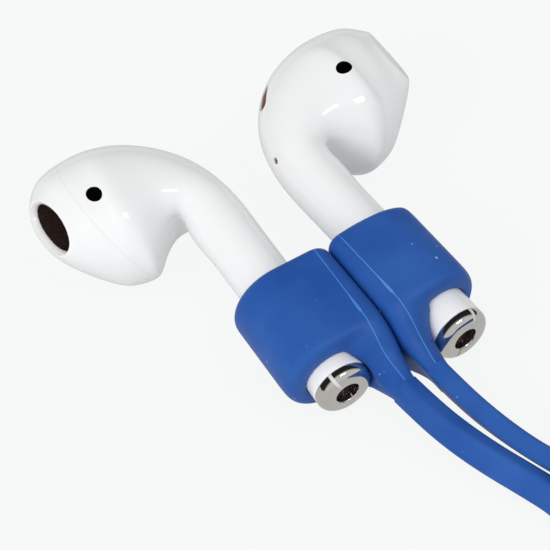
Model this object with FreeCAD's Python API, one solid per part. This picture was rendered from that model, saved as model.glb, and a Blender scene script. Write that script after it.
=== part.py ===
import FreeCAD, Part
import math
import os
from FreeCAD import Matrix, Placement, Rotation, Vector

# A pair of wireless stem earbuds on a silicone neck strap. Each stem is pushed through a soft sleeve
# at the strap's end, and a magnet in each sleeve holds the two sleeves side by side. The pair lies on
# its heads and sleeves. Millimetres, +Z up, nozzles outwards along X, stems along Y with tails to -Y.

# How the pair lies
SLEEVE_SPACING = 13.18      # between the two stem axes at the tail joints
SPLAY = 2.66                # degrees each stem turns outwards at its tail
NOSE_DROP = 11.0            # degrees each nozzle turns down about its stem
REST_PITCH = 8.2            # degrees the stems slope up towards the heads
RIGHT_INSERT = 1.4          # how much deeper the right stem sits in its sleeve

# Earbud shell
STEM_RADIUS = 3.05
STEM_STRAIGHT = 19.5        # straight stem from the tail joint to the neck
STEM_BORE = 2.3
STEM_ROOM = 0.4             # from the battery or the antenna to the bore's end
WIRE_BORE = 1.5             # for the wires from the stem to the driver's chamber
# Stations of the head, each an ellipse: x, y, z of its centre, tilt and yaw of its normal in
# degrees, half height, half width. The tilt is 0 on the stem and 90 on the upright nozzle end.
NECK = (0.15, 0.0, 24.85, 12.0, 0.0, 3.15, 3.2)
THROAT = (1.1, 0.0, 28.7, 41.0, 0.0, 3.45, 3.95)
BULB_REAR = (4.9, -0.1, 30.0, 70.0, 0.0, 6.9, 5.25)
BULB_MIDDLE = (7.6, 0.1, 30.6, 81.5, 0.5, 7.62, 7.4)
BULB_FRONT = (10.25, 0.15, 31.5, 87.0, 10.0, 7.6, 6.5)
NOSE = (13.1, 2.05, 31.7, 94.0, 20.5, 6.2, 4.65)
NOZZLE = (15.0, 4.1, 31.4, 94.0, 40.0, 3.65, 2.2)
BANDS = 3                   # ruled bands from one station to the next
OVAL_POINTS = 8

# Seam between the front cover and the rear shell, and the driver behind it
SEAM_X, SEAM_Y, SEAM_Z = 8.6, 0.0, 30.8
SEAM_YAW = -16.7            # degrees, the seam leans forwards on the upper side
DRIVER_RADIUS = 5.6
DRIVER_FLANGE = 0.5
DRIVER_SEAT = 0.9           # from the seam to the back of the driver's flange
DRIVER_CAN_RADIUS = 3.9
DRIVER_CAN_DEPTH = 2.6
CAN_WALL = 0.3
MAGNET_RADIUS = 2.5
MAGNET_THICKNESS = 1.1
POLE_THICKNESS = 0.4
COIL_RADIUS = 2.95
COIL_WALL = 0.2
COIL_HEIGHT = 1.1
DIAPHRAGM_EDGE = 0.2        # between the diaphragm and the front ring
DIAPHRAGM_THICKNESS = 0.12
DIAPHRAGM_RISE = 0.45
DIAPHRAGM_FLAT = 1.2        # radius of the cap's flat middle
DIAPHRAGM_TRAVEL = 0.2
FRONT_RING_WALL = 0.6
BOARD_RADIUS = 3.7
BOARD_THICKNESS = 0.6
FIT = 0.05                  # moulded fit between seated pieces

# Nozzle end
POCKET_HEIGHT, POCKET_WIDTH = 3.2, 1.9
POCKET_DEPTH = 1.0
RING_OPEN_HEIGHT, RING_OPEN_WIDTH = 2.9, 1.6
RING_INSET = 0.3
MESH_THICKNESS = 0.2
SOUND_HEIGHT, SOUND_WIDTH = 2.5, 1.3
CHANNEL_STEP = 1.2, 1.6     # the sound channel starts this far inside the driver's bore

# Sensor window and vents
SENSOR_AT = (8.6, 7.2, 30.1)
SENSOR_NORMAL = (0.0, 0.99, -0.12)
SENSOR_LENGTH, SENSOR_HEIGHT = 1.72, 1.52
SENSOR_DEPTH = 0.9
SENSOR_CHIP = (1.6, 1.6, 0.5)
VENT_DEPTH, VENT_ABOVE = 2.2, 1.5   # reach of a hole's tool under and over the surface
SLOT_AT = (1.25, 0.7, 34.9)
SLOT_NORMAL = (-0.66, 0.35, 0.66)
SLOT_LENGTH, SLOT_WIDTH = 3.4, 1.3
VENT_AT = (-2.75, 1.25, 27.5)
VENT_NORMAL = (-0.90, 0.40, 0.17)
VENT_LENGTH, VENT_WIDTH = 0.76, 0.56
VENT_INSET = 0.25

# Stem tail: two charge contacts round a carrier with the microphone's mesh
CONTACT_LENGTH = 2.2
CONTACT_EDGE = 1.0
CONTACT_HOLE = 1.3
CONTACT_SPLIT = 22.0        # degrees from the bud's Y axis
CONTACT_GAP = 0.4
CONTACT_STEPS = 3           # cones in the rounded edge
CARRIER_RADIUS = 2.2
CARRIER_LENGTH = 3.0        # up the stem from the tail joint
CARRIER_HOLE_END = 1.5
TAIL_MESH_INSET = 0.9
TAIL_MESH_RADIUS = 1.6
MICROPHONE_SIZE = (2.4, 1.7, 0.9)
MICROPHONE_PORT = 0.4

# Battery and antenna in the stem
BATTERY_RADIUS = 1.85
BATTERY_START, BATTERY_LENGTH = 4.4, 17.0
ANTENNA_WIDTH, ANTENNA_THICKNESS = 1.4, 0.12
ANTENNA_LENGTH = 18.0
ANTENNA_INSET = 0.25        # from the stem's bore

# Silicone sleeve, in its own frame: N towards the other sleeve, U up, Z along the stem to the head
SLEEVE_CLEARANCE = 0.05
SLEEVE_RADIUS = 4.9
SLEEVE_HEAD_END = 14.0
SLEEVE_TAIL_START = 3.4     # the full barrel ends here and the tail starts to taper
SLEEVE_CORNER = 1.5         # round edges of the flat side
RIM_ROUND = 1.2             # rounding of the head end's rim
SLEEVE_GAP = 0.04           # between the two sleeves' flats
MAGNET_BAR = (1.5, 5.0, 7.0)
MAGNET_N = 4.65
MAGNET_Z = 8.4

# Silicone strap, its end moulded in one with each sleeve
STRAP_WIDTH, STRAP_HEIGHT = 2.4, 3.4
STRAP_CORNER = 0.6
STRAP_N, STRAP_U = 4.55, 0.6
STRAP_START = -5.2
# Sections of the tail between barrel and strap: z, the outer side's N, how far the inner side lies
# in from the mating flat, half height, corner radius
TAIL_SECTIONS = (
    (2.4, -4.3, 0.0, 4.6, 1.5),
    (1.0, -2.4, 0.0, 4.15, 1.5),
    (-0.7, 0.6, 0.0, 3.4, 1.3),
    (-2.6, 2.6, 0.25, 2.5, 0.9),
)

# The free strap: two strands side by side along the surface, and the loop between them put away as
# a coil. It runs in on the lower layer, turns back through the middle and runs out on the upper one.
STRAND_LEAD = 4.5           # straight out of the sleeve's tail
LEFT_ROUTE = (
    (-0.3, -31.0, 2.9),
    (1.5, -35.5, 2.2),
    (2.7, -40.2, 2.0),
)
RIGHT_ROUTE = (
    (4.0, -30.6, 2.4),
    (5.3, -34.6, 2.1),
    (5.9, -38.3, 3.2),
    (5.5, -41.9, 5.7),
)
COIL_X, COIL_Y = 23.5, -51.85
COIL_LEAD = 3.8             # straight run of a strand into the coil's end
COIL_END = 3.0              # straight run of the coil itself at its ends
COIL_INNER = 13.6           # radius of the innermost half turn
COIL_SPACING = 3.6          # from one turn to the next beside it
COIL_RISE = 3.9             # from the lower layer to the upper one
LOWER_HALF_TURNS, UPPER_HALF_TURNS = 4, 3
TIE_WIDTH = 4.0
TIE_THICKNESS = 0.4
TIE_ROUND = 0.5
TIE_GAP, TIE_SIDE_GAP = 0.1, 0.45


def frame_at(origin, normal, across=Vector(0, 1, 0)):
    """A placement whose local Z is the normal and whose local Y lies along across."""
    z = Vector(*normal).normalize()
    y = (across - z * across.dot(z)).normalize()
    x = y.cross(z)
    turn = Matrix(x.x, y.x, z.x, 0, x.y, y.y, z.y, 0, x.z, y.z, z.z, 0, 0, 0, 0, 1)
    return Placement(Vector(*origin), Placement(turn).Rotation)


def station_frame(station):
    """Placement of a station: local X towards the outer side, local Y across, local Z along the bud."""
    x, y, z, tilt, yaw = station[:5]
    a, b = math.radians(tilt), math.radians(yaw)
    along = (math.sin(a) * math.cos(b), math.sin(a) * math.sin(b), math.cos(a))
    return frame_at((x, y, z), along, Vector(-math.sin(b), math.cos(b), 0))


def oval_wire(half_x, half_y):
    """A smooth ellipse in the local XY plane that starts on local +X."""
    angles = [2 * math.pi * i / OVAL_POINTS for i in range(OVAL_POINTS)]
    points = [Vector(half_x * math.cos(a), half_y * math.sin(a), 0) for a in angles]
    curve = Part.BSplineCurve()
    curve.interpolate(points, PeriodicFlag=True)
    return Part.Wire([curve.toShape()])


def placed(shape, placement):
    """A copy of the shape moved from local axes to the given placement."""
    copy = shape.copy()
    copy.Placement = placement.multiply(copy.Placement)
    return copy


def spline_bends(values):
    """Second derivatives of the natural cubic spline through evenly spaced values."""
    count = len(values)
    ratio, load, bends = [0.0] * count, [0.0] * count, [0.0] * count
    for i in range(1, count - 1):
        pivot = 4 - ratio[i - 1]
        ratio[i] = 1 / pivot
        load[i] = (6 * (values[i + 1] - 2 * values[i] + values[i - 1]) - load[i - 1]) / pivot
    for i in range(count - 2, 0, -1):
        bends[i] = load[i] - ratio[i] * bends[i + 1]
    return bends


def spline_value(values, bends, place):
    i = min(int(place), len(values) - 2)
    t = place - i
    s = 1 - t
    straight = s * values[i] + t * values[i + 1]
    return straight + ((s ** 3 - s) * bends[i] + (t ** 3 - t) * bends[i + 1]) / 6


def finer(stations, first):
    """The stations with BANDS steps between each two from index first on, on a smooth spline."""
    columns = list(zip(*stations))
    bends = [spline_bends(column) for column in columns]
    steps = list(range(first))
    steps += [first + k / BANDS for k in range((len(stations) - 1 - first) * BANDS + 1)]
    return [tuple(spline_value(c, b, u) for c, b in zip(columns, bends)) for u in steps]


def skinned(wires):
    """A closed solid of ruled bands from wire to wire, with a flat face at each end."""
    faces = [Part.Face(wires[0]), Part.Face(wires[-1])]
    for near, far in zip(wires, wires[1:]):
        faces += Part.makeRuledSurface(near, far).Faces
    shell = Part.makeShell(faces)
    shell.sewShape()
    solid = Part.Solid(shell)
    if solid.Volume < 0:
        solid.reverse()
    return solid


def cylinder(radius, start, end, place=Placement()):
    return placed(Part.makeCylinder(radius, end - start, Vector(0, 0, start)), place)


def tube(outer, inner, start, end, place=Placement()):
    return cylinder(outer, start, end, place).cut(cylinder(inner, start - 1, end + 1, place))


def centred_box(size, start, place=Placement()):
    """A box whose local Z starts at the given height, centred in local X and Y."""
    a, b, c = size
    return placed(Part.makeBox(a, b, c, Vector(-a / 2, -b / 2, start)), place)


def oval_plug(half_x, half_y, start, end, place):
    """An elliptic plug, its longer half axis along local X."""
    face = Part.Face(Part.Wire([Part.Ellipse(Vector(0, 0, 0), half_x, half_y).toShape()]))
    solid = face.extrude(Vector(0, 0, end - start))
    solid.translate(Vector(0, 0, start))
    return placed(solid, place)


def slot_plug(length, width, start, end, place):
    """A slot with round ends, its length along local X."""
    radius = width / 2
    run = length / 2 - radius
    solid = centred_box((2 * run, width, end - start), start)
    for side in (-run, run):
        round_end = Part.makeCylinder(radius, end - start, Vector(side, 0, start))
        solid = solid.fuse(round_end)
    return placed(solid.removeSplitter(), place)


def one_solid(shape):
    """The largest solid of a boolean's result."""
    return max(shape.Solids, key=lambda s: s.Volume)


# Earbud, in its own frame: stem up +Z from the tail joint, nozzle to +X, the side seen from above +Y

def stem_station(z):
    return (0.0, 0.0, z, 0.0, 0.0, STEM_RADIUS, STEM_RADIUS)


def bud_outer():
    """The stem and head in one: a round stem that swells into the bulb and turns to the nozzle."""
    lead_in = STEM_STRAIGHT - (NECK[2] - STEM_STRAIGHT)
    stations = [stem_station(lead_in), stem_station(STEM_STRAIGHT)]
    stations += [NECK, THROAT, BULB_REAR, BULB_MIDDLE, BULB_FRONT, NOSE, NOZZLE]
    rings = [stem_station(0.0)] + finer(stations, 1)
    return skinned([placed(oval_wire(s[5], s[6]), station_frame(s)) for s in rings])


def seam_frame():
    yaw = math.radians(SEAM_YAW)
    return frame_at((SEAM_X, SEAM_Y, SEAM_Z), (math.cos(yaw), math.sin(yaw), 0.0))


def bud_cavity(seam, nozzle):
    """Room for the stem parts, the neck's wires, the driver and the sound channel."""
    driver_bore = DRIVER_RADIUS + FIT
    chamber_back = DRIVER_SEAT - DRIVER_CAN_DEPTH - BOARD_THICKNESS - 2 * FIT
    front_face = DRIVER_SEAT + DRIVER_FLANGE + 2 * FRONT_RING_WALL
    bore_end = max(BATTERY_START + BATTERY_LENGTH, CARRIER_LENGTH + ANTENNA_LENGTH) + STEM_ROOM
    room = cylinder(STEM_BORE, -1, bore_end)
    room = room.fuse(cylinder(DRIVER_CAN_RADIUS + 4 * FIT, chamber_back, DRIVER_SEAT, seam))
    room = room.fuse(cylinder(driver_bore, DRIVER_SEAT, front_face, seam))
    route = [Vector(0, 0, STEM_STRAIGHT), Vector(*NECK[:3]), Vector(*THROAT[:3])]
    route.append(seam.multVec(Vector(0, 0, chamber_back + WIRE_BORE)))
    for start, end in zip(route, route[1:]):
        leg = frame_at(tuple(start), tuple(end - start))
        room = room.fuse(cylinder(WIRE_BORE, 0, (end - start).Length, leg))
    height_step, width_step = CHANNEL_STEP
    channel_place = Placement(seam.multVec(Vector(0, 0, front_face)), seam.Rotation)
    channel_wide = placed(oval_wire(driver_bore - height_step, driver_bore - width_step), channel_place)
    throat = Placement(nozzle.multVec(Vector(0, 0, -POCKET_DEPTH)), nozzle.Rotation)
    channel_end = placed(oval_wire(SOUND_HEIGHT, SOUND_WIDTH), throat)
    return room.fuse(Part.makeLoft([channel_wide, channel_end], True, True, False))


def half_space(place, size=60.0):
    """The half of space in front of a placement's local Z."""
    return centred_box((size, size, size), 0.0, place)


def vent_tools(at, normal, make):
    """A hole through the wall, and the mesh that sits a little below the surface."""
    place = frame_at(at, normal)
    hole = make(-VENT_DEPTH, VENT_ABOVE, place)
    mesh = make(-VENT_INSET - MESH_THICKNESS, -VENT_INSET, place)
    return hole, mesh


def slot_shape(start, end, place):
    return slot_plug(SLOT_LENGTH, SLOT_WIDTH, start, end, place)


def vent_shape(start, end, place):
    return slot_plug(VENT_LENGTH, VENT_WIDTH, start, end, place)


def shells_and_trim(nodes):
    seam = seam_frame()
    nozzle = station_frame(NOZZLE)
    outer = bud_outer()
    wall = outer.cut(bud_cavity(seam, nozzle))
    wall = wall.cut(oval_plug(POCKET_HEIGHT, POCKET_WIDTH, -POCKET_DEPTH, 1.0, nozzle))
    sensor = frame_at(SENSOR_AT, SENSOR_NORMAL, Vector(0, 0, 1))
    window = slot_plug(SENSOR_LENGTH, SENSOR_HEIGHT, -SENSOR_DEPTH, VENT_ABOVE, sensor)
    slot, slot_mesh = vent_tools(SLOT_AT, SLOT_NORMAL, slot_shape)
    vent, vent_mesh = vent_tools(VENT_AT, VENT_NORMAL, vent_shape)
    chip = centred_box(SENSOR_CHIP, -SENSOR_DEPTH - SENSOR_CHIP[2], sensor)
    wall = wall.cut(window).cut(slot).cut(vent).cut(chip)
    front = half_space(seam)
    nodes["front_cover"] = one_solid(wall.common(front))
    nodes["rear_shell"] = one_solid(wall.cut(front))
    nodes["sensor_window"] = one_solid(outer.common(window))
    nodes["sensor_chip"] = chip
    nodes["rear_vent_mesh"] = slot_mesh
    nodes["stem_vent_mesh"] = vent_mesh
    ring_back = -POCKET_DEPTH + MESH_THICKNESS
    nodes["nozzle_mesh"] = oval_plug(POCKET_HEIGHT, POCKET_WIDTH, -POCKET_DEPTH, ring_back, nozzle)
    ring = oval_plug(POCKET_HEIGHT, POCKET_WIDTH, ring_back, -RING_INSET, nozzle)
    opening = oval_plug(RING_OPEN_HEIGHT, RING_OPEN_WIDTH, ring_back - 1, 1, nozzle)
    nodes["nozzle_ring"] = one_solid(ring.cut(opening))


def turned(profile):
    """A solid of revolution about Z from its closed outline of radii and heights."""
    outline = Part.makePolygon([Vector(r, 0, z) for r, z in profile + profile[:1]])
    return Part.Face(outline).revolve(Vector(0, 0, 0), Vector(0, 0, 1), 360)


def diaphragm_shape():
    """A thin cap over the voice coil with a flat rim round it, its rim's back at local Z 0."""
    t, rise = DIAPHRAGM_THICKNESS, DIAPHRAGM_RISE
    edge = DRIVER_RADIUS - FRONT_RING_WALL - DIAPHRAGM_EDGE
    upper = [(edge, t), (COIL_RADIUS, t), (DIAPHRAGM_FLAT, rise + t), (0, rise + t)]
    lower = [(0, rise), (DIAPHRAGM_FLAT, rise), (COIL_RADIUS, 0), (edge, 0)]
    return turned(upper + lower)


def driver(nodes):
    """Moving coil driver, its parts stacked along the seam's normal."""
    seam = seam_frame()
    can_back = DRIVER_SEAT - DRIVER_CAN_DEPTH + FIT
    flange_front = DRIVER_SEAT + DRIVER_FLANGE
    can = cylinder(DRIVER_CAN_RADIUS, can_back, flange_front, seam)
    can = can.fuse(cylinder(DRIVER_RADIUS, DRIVER_SEAT, flange_front, seam))
    can_inside = cylinder(DRIVER_CAN_RADIUS - CAN_WALL, can_back + CAN_WALL, flange_front, seam)
    nodes["driver_basket"] = one_solid(can.cut(can_inside))
    magnet_front = can_back + CAN_WALL + MAGNET_THICKNESS
    pole_front = magnet_front + POLE_THICKNESS
    nodes["driver_magnet"] = cylinder(MAGNET_RADIUS, can_back + CAN_WALL, magnet_front, seam)
    nodes["driver_pole_plate"] = cylinder(MAGNET_RADIUS, magnet_front, pole_front, seam)
    coil_front = flange_front + DIAPHRAGM_TRAVEL + FIT
    coil_inner = COIL_RADIUS - COIL_WALL
    nodes["voice_coil"] = tube(COIL_RADIUS, coil_inner, coil_front - COIL_HEIGHT, coil_front, seam)
    dome = diaphragm_shape()
    dome.translate(Vector(0, 0, coil_front))
    nodes["diaphragm"] = placed(dome, seam)
    ring_front = flange_front + 2 * FRONT_RING_WALL
    ring_inner = DRIVER_RADIUS - FRONT_RING_WALL
    nodes["driver_front_ring"] = tube(DRIVER_RADIUS, ring_inner, flange_front, ring_front, seam)
    board_back = can_back - BOARD_THICKNESS
    nodes["main_board"] = cylinder(BOARD_RADIUS, board_back, can_back, seam)


def tail(nodes):
    """Charge contacts, their insulating carrier, the microphone and its mesh."""
    pocket_start = -CONTACT_LENGTH + TAIL_MESH_INSET
    profile = [(CONTACT_HOLE, -CONTACT_LENGTH)]
    for step in range(CONTACT_STEPS + 1):
        share = math.pi / 2 * step / CONTACT_STEPS
        radius = STEM_RADIUS - CONTACT_EDGE * (1 - math.sin(share))
        profile.append((radius, CONTACT_EDGE * (1 - math.cos(share)) - CONTACT_LENGTH))
    profile += [(STEM_RADIUS, 0), (CARRIER_RADIUS, 0), (CARRIER_RADIUS, pocket_start)]
    ring = turned(profile + [(CONTACT_HOLE, pocket_start)])
    turn = Placement(Vector(0, 0, 0), Rotation(Vector(0, 0, 1), -CONTACT_SPLIT))
    split = centred_box((CONTACT_GAP, 2 * STEM_RADIUS + 1, CONTACT_LENGTH), -CONTACT_LENGTH, turn)
    halves = sorted(ring.cut(split).Solids, key=lambda s: s.CenterOfMass.x)
    nodes["inner_contact"], nodes["outer_contact"] = halves
    carrier = cylinder(CARRIER_RADIUS, pocket_start, CARRIER_LENGTH)
    carrier = carrier.fuse(ring.common(split))
    mesh_back = pocket_start + MESH_THICKNESS
    carrier = carrier.cut(cylinder(TAIL_MESH_RADIUS, pocket_start - 1, mesh_back))
    carrier = carrier.cut(cylinder(CONTACT_HOLE, -CONTACT_LENGTH - 1, CARRIER_HOLE_END))
    carrier = carrier.cut(cylinder(MICROPHONE_PORT, 0, CARRIER_LENGTH))
    microphone = centred_box(MICROPHONE_SIZE, CARRIER_LENGTH - MICROPHONE_SIZE[2])
    nodes["tail_carrier"] = one_solid(carrier.cut(microphone))
    nodes["tail_mesh"] = cylinder(TAIL_MESH_RADIUS, pocket_start, mesh_back)
    nodes["microphone"] = microphone


def stem_parts(nodes):
    antenna_x = STEM_BORE - ANTENNA_INSET - ANTENNA_THICKNESS / 2
    battery_x = antenna_x - ANTENNA_THICKNESS / 2 - BATTERY_RADIUS
    battery = cylinder(BATTERY_RADIUS, BATTERY_START, BATTERY_START + BATTERY_LENGTH)
    battery.translate(Vector(battery_x, 0, 0))
    nodes["battery"] = battery
    strip = centred_box((ANTENNA_THICKNESS, ANTENNA_WIDTH, ANTENNA_LENGTH), CARRIER_LENGTH)
    strip.translate(Vector(antenna_x, 0, 0))
    nodes["antenna_strip"] = strip


def earbud():
    nodes = {}
    shells_and_trim(nodes)
    driver(nodes)
    tail(nodes)
    stem_parts(nodes)
    return nodes


# Sleeve, in the frame of the stem that it holds

def mating_n(z):
    """Where the flat between the two sleeves lies, seen from the stem's axis."""
    splay = math.radians(SPLAY)
    return (SLEEVE_SPACING / 2 - z * math.sin(splay)) / math.cos(splay) - SLEEVE_GAP / 2


def sleeve_section(z, outer_n, inner_n, half_height, corner):
    """A wire at z: round on the outer side, with a flat and two round corners on the inner side."""
    middle = outer_n + half_height
    slope = math.sqrt(0.5)

    def point(n, u):
        return Vector(n, u, z)

    def quarter(centre_n, centre_u, radius, start, end):
        """A quarter arc about a centre, from one side of it to the next, each a pair of signs."""
        turn = (start[0] + end[0], start[1] + end[1])
        ends = [point(centre_n + radius * n, centre_u + radius * u) for n, u in (start, end)]
        half = point(centre_n + radius * slope * turn[0], centre_u + radius * slope * turn[1])
        return Part.Arc(ends[0], half, ends[1]).toShape()

    def side(start, end):
        return Part.LineSegment(point(*start), point(*end)).toShape()

    left, right, up, down = (-1, 0), (1, 0), (0, 1), (0, -1)
    low, high, flat_n = corner - half_height, half_height - corner, inner_n - corner
    return Part.Wire([
        quarter(middle, 0, half_height, up, left),
        quarter(middle, 0, half_height, left, down),
        side((middle, -half_height), (flat_n, -half_height)),
        quarter(flat_n, low, corner, down, right),
        side((inner_n, low), (inner_n, high)),
        quarter(flat_n, high, corner, right, up),
        side((flat_n, half_height), (middle, half_height)),
    ])


def sleeve_and_magnet():
    """The sleeve from its rounded head end to the start of the strap, and the magnet bar in its wall."""
    sections = []
    for degrees in (90, 60, 30, 0):
        share = math.radians(degrees)
        z = SLEEVE_HEAD_END - RIM_ROUND * (1 - math.sin(share))
        inset = RIM_ROUND * (1 - math.cos(share))
        radius = SLEEVE_RADIUS - inset
        corner = SLEEVE_CORNER - inset / 2
        sections.append(sleeve_section(z, -radius, mating_n(z) - inset, radius, corner))
    start = SLEEVE_TAIL_START
    sections.append(sleeve_section(
        start, -SLEEVE_RADIUS, mating_n(start), SLEEVE_RADIUS, SLEEVE_CORNER))
    for z, outer_n, inset, half_height, corner in TAIL_SECTIONS:
        sections.append(sleeve_section(z, outer_n, mating_n(z) - inset, half_height, corner))
    half_width = STRAP_WIDTH / 2
    sections.append(sleeve_section(
        STRAP_START, STRAP_N - half_width, STRAP_N + half_width, STRAP_HEIGHT / 2, STRAP_CORNER))
    strap_end = sections[-1]
    strap_end.translate(Vector(0, STRAP_U, 0))
    body = skinned(sections)
    bore = cylinder(STEM_RADIUS + SLEEVE_CLEARANCE, STRAP_START - 1, SLEEVE_HEAD_END + 1)
    magnet = centred_box(MAGNET_BAR, MAGNET_Z - MAGNET_BAR[2] / 2)
    magnet.translate(Vector(MAGNET_N, 0, 0))
    return one_solid(body.cut(bore).cut(magnet)), magnet


# Strap, in the part's axes

def strap_outline(start, along):
    """The strip's upright outline, square to the path at its start."""
    place = frame_at(tuple(start), tuple(along), Vector(0, 0, 1))
    half_width, half_height = STRAP_WIDTH / 2, STRAP_HEIGHT / 2
    signs = ((1, 1), (-1, 1), (-1, -1), (1, -1))
    corners = [place.multVec(Vector(half_width * a, half_height * b, 0)) for a, b in signs]
    return Part.makePolygon(corners + corners[:1])


def swept(edges, start, along):
    path = Part.Wire(edges)
    return one_solid(path.makePipeShell([strap_outline(start, along)], True, False))


def arc_middle(start, along, end):
    """The middle of the arc that leaves start in the given direction and reaches end."""
    chord = end - start
    half = math.acos(max(-1.0, min(1.0, along.dot(chord) / chord.Length)))
    reach = chord.Length / (2 * math.cos(half / 2))
    return start + (along + chord.normalize()).normalize() * reach


def arc_from(start, along, end):
    return Part.Arc(start, arc_middle(start, along, end), end).toShape()


def biarc(start, leaves, end, arrives):
    """Two tangent arcs from one point and direction to another."""
    chord = end - start
    both = leaves + arrives
    turn = 2 * (1 - leaves.dot(arrives))
    ahead = chord.dot(both)
    if abs(turn) < 1e-9:
        reach = chord.dot(chord) / (2 * ahead)
    else:
        reach = (math.sqrt(ahead ** 2 + turn * chord.dot(chord)) - ahead) / turn
    joint = ((start + leaves * reach) + (end - arrives * reach)) / 2
    second = Part.Arc(joint, arc_middle(end, arrives * -1, joint), end).toShape()
    return [arc_from(start, leaves, joint), second]


def strand(name, points):
    """A strand of straight runs joined by tangent arcs as large as its runs allow."""
    edges, radii = [], []
    at = points[0]
    for before, corner, after in zip(points, points[1:], points[2:]):
        back, on = before - corner, after - corner
        run = min(back.Length, on.Length)
        turn = math.pi - back.getAngle(on)
        cut = 0.45 * run
        radii.append(round(cut / math.tan(turn / 2), 1))
        arc_start = corner + back.normalize() * cut
        arc_end = corner + on.normalize() * cut
        edges.append(Part.LineSegment(at, arc_start).toShape())
        edges.append(arc_from(arc_start, (corner - arc_start).normalize(), arc_end))
        at = arc_end
    edges.append(Part.LineSegment(at, points[-1]).toShape())
    length = sum(edge.Length for edge in edges)
    solid = swept(edges, points[0], points[1] - points[0])
    print(name, "radii", radii, "length", round(length, 1), "volume", round(solid.Volume, 1))
    return solid


def coil_place(side_turns, radius, height):
    """A point of the coil at a number of half turns from its west side, counter-clockwise."""
    angle = math.pi * (1 + side_turns)
    return Vector(COIL_X + radius * math.cos(angle), COIL_Y + radius * math.sin(angle), height)


def spiral_stop(side_turns, radius, sense, rate):
    """Horizontal direction of a spiral at a stop, its radius growing by rate each half turn."""
    angle = math.pi * (1 + side_turns)
    around = Vector(-math.sin(angle), math.cos(angle), 0) * sense
    outwards = Vector(math.cos(angle), math.sin(angle), 0)
    return (around + outwards * (rate / (math.pi * radius))).normalize()


def coil_stops():
    """Points and directions along the coil, from the left strand's end to the right strand's."""
    low = STRAP_HEIGHT / 2 + TIE_THICKNESS + TIE_GAP
    high = low + COIL_RISE
    rate = COIL_SPACING / 2
    stops = []
    for h in range(LOWER_HALF_TURNS + 1):
        radius = COIL_INNER + rate * (LOWER_HALF_TURNS - h)
        inwards = -rate if 0 < h < LOWER_HALF_TURNS else 0.0
        stops.append((coil_place(h, radius, low), spiral_stop(h, radius, 1, inwards)))
    bend = COIL_INNER / 2
    # the way up is between the two bends' tops, clear of the turns above and below
    climb = COIL_RISE / (math.pi / 2 * bend)
    middle = Vector(COIL_X, COIL_Y, (low + high) / 2)
    stops.append((Vector(COIL_X - bend, COIL_Y - bend, low), Vector(1, 0, 0)))
    stops.append((middle, Vector(0, 1, climb).normalize()))
    stops.append((Vector(COIL_X + bend, COIL_Y + bend, high), Vector(1, 0, 0)))
    for h in range(UPPER_HALF_TURNS + 1):
        radius = COIL_INNER + rate * h
        outwards = rate if 0 < h < UPPER_HALF_TURNS else 0.0
        stops.append((coil_place(1 - h, radius, high), spiral_stop(1 - h, radius, -1, outwards)))
    return stops


def strip_gap(one, other):
    """The gap between two upright strips that run side by side through the two points."""
    beside = math.hypot(one.x - other.x, one.y - other.y) - STRAP_WIDTH
    above = abs(one.z - other.z) - STRAP_HEIGHT
    return max(beside, above)


def coil():
    stops = coil_stops()
    (start, leaves), (end, arrives) = stops[0], stops[-1]
    first, last = start - leaves * COIL_END, end + arrives * COIL_END
    edges = [Part.LineSegment(first, start).toShape()]
    for (near, out), (far, into) in zip(stops, stops[1:]):
        edges += biarc(near, out, far, into)
    edges.append(Part.LineSegment(end, last).toShape())
    solid = swept(edges, first, leaves)
    points = []
    for edge in edges:
        points += edge.discretize(max(2, int(edge.Length)) + 1)[:-1]
    ways = [0.0]
    for near, far in zip(points, points[1:]):
        ways.append(ways[-1] + near.distanceToPoint(far))
    skip = 2 * STRAP_HEIGHT
    gaps = [strip_gap(points[i], points[j]) for i in range(len(points))
            for j in range(i) if ways[i] - ways[j] > skip]
    length = sum(edge.Length for edge in edges)
    print("coil length", round(length, 1), "least gap", round(min(gaps), 2), solid.BoundBox)
    return solid, first, last


def tie():
    """A band round all the turns on the coil's east side."""
    reach = STRAP_WIDTH / 2 + TIE_SIDE_GAP
    outer = COIL_INNER + (LOWER_HALF_TURNS - 1) * COIL_SPACING / 2 + reach
    inner = COIL_INNER - reach
    height = STRAP_HEIGHT + COIL_RISE + 2 * TIE_GAP
    band = 2 * TIE_THICKNESS
    ring = Part.makeBox(outer - inner + band, TIE_WIDTH, height + band)
    long_edges = [e for e in ring.Edges if abs(e.Length - TIE_WIDTH) < 1e-6]
    ring = ring.makeFillet(TIE_ROUND, long_edges)
    corner = Vector(TIE_THICKNESS, -1, TIE_THICKNESS)
    ring = ring.cut(Part.makeBox(outer - inner, TIE_WIDTH + 2, height, corner))
    ring.translate(Vector(COIL_X + inner - TIE_THICKNESS, COIL_Y - TIE_WIDTH / 2, 0))
    return ring


def strap_exit(sleeve_place, mirror_x, shift):
    """Where the moulded tail ends and which way it points, in the part's axes."""
    ends = [Vector(-STRAP_N, STRAP_U, STRAP_START - way) for way in (0.0, STRAND_LEAD)]
    ends = [sleeve_place.multVec(end) for end in ends]
    ends = [Vector(-end.x if mirror_x else end.x, end.y, end.z) for end in ends]
    pitch = Placement(Vector(0, 0, 0), Rotation(Vector(1, 0, 0), REST_PITCH))
    return [pitch.multVec(end) + shift for end in ends]


def strap(nodes, sleeve_place, shift):
    nodes["strap_coil"], coil_start, coil_end = coil()
    nodes["strap_tie"] = tie()
    for name, route, mirror_x, last in (
            ("strap_left_strand", LEFT_ROUTE, False, coil_start),
            ("strap_right_strand", RIGHT_ROUTE, True, coil_end)):
        points = strap_exit(sleeve_place, mirror_x, shift)
        points += [Vector(*point) for point in route]
        # the last run is square to the coil's straight end
        points += [last + Vector(0, COIL_LEAD, 0), last]
        print(name, [tuple(round(value, 2) for value in point) for point in points])
        nodes[name] = strand(name, points)


# Placing the pair

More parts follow.
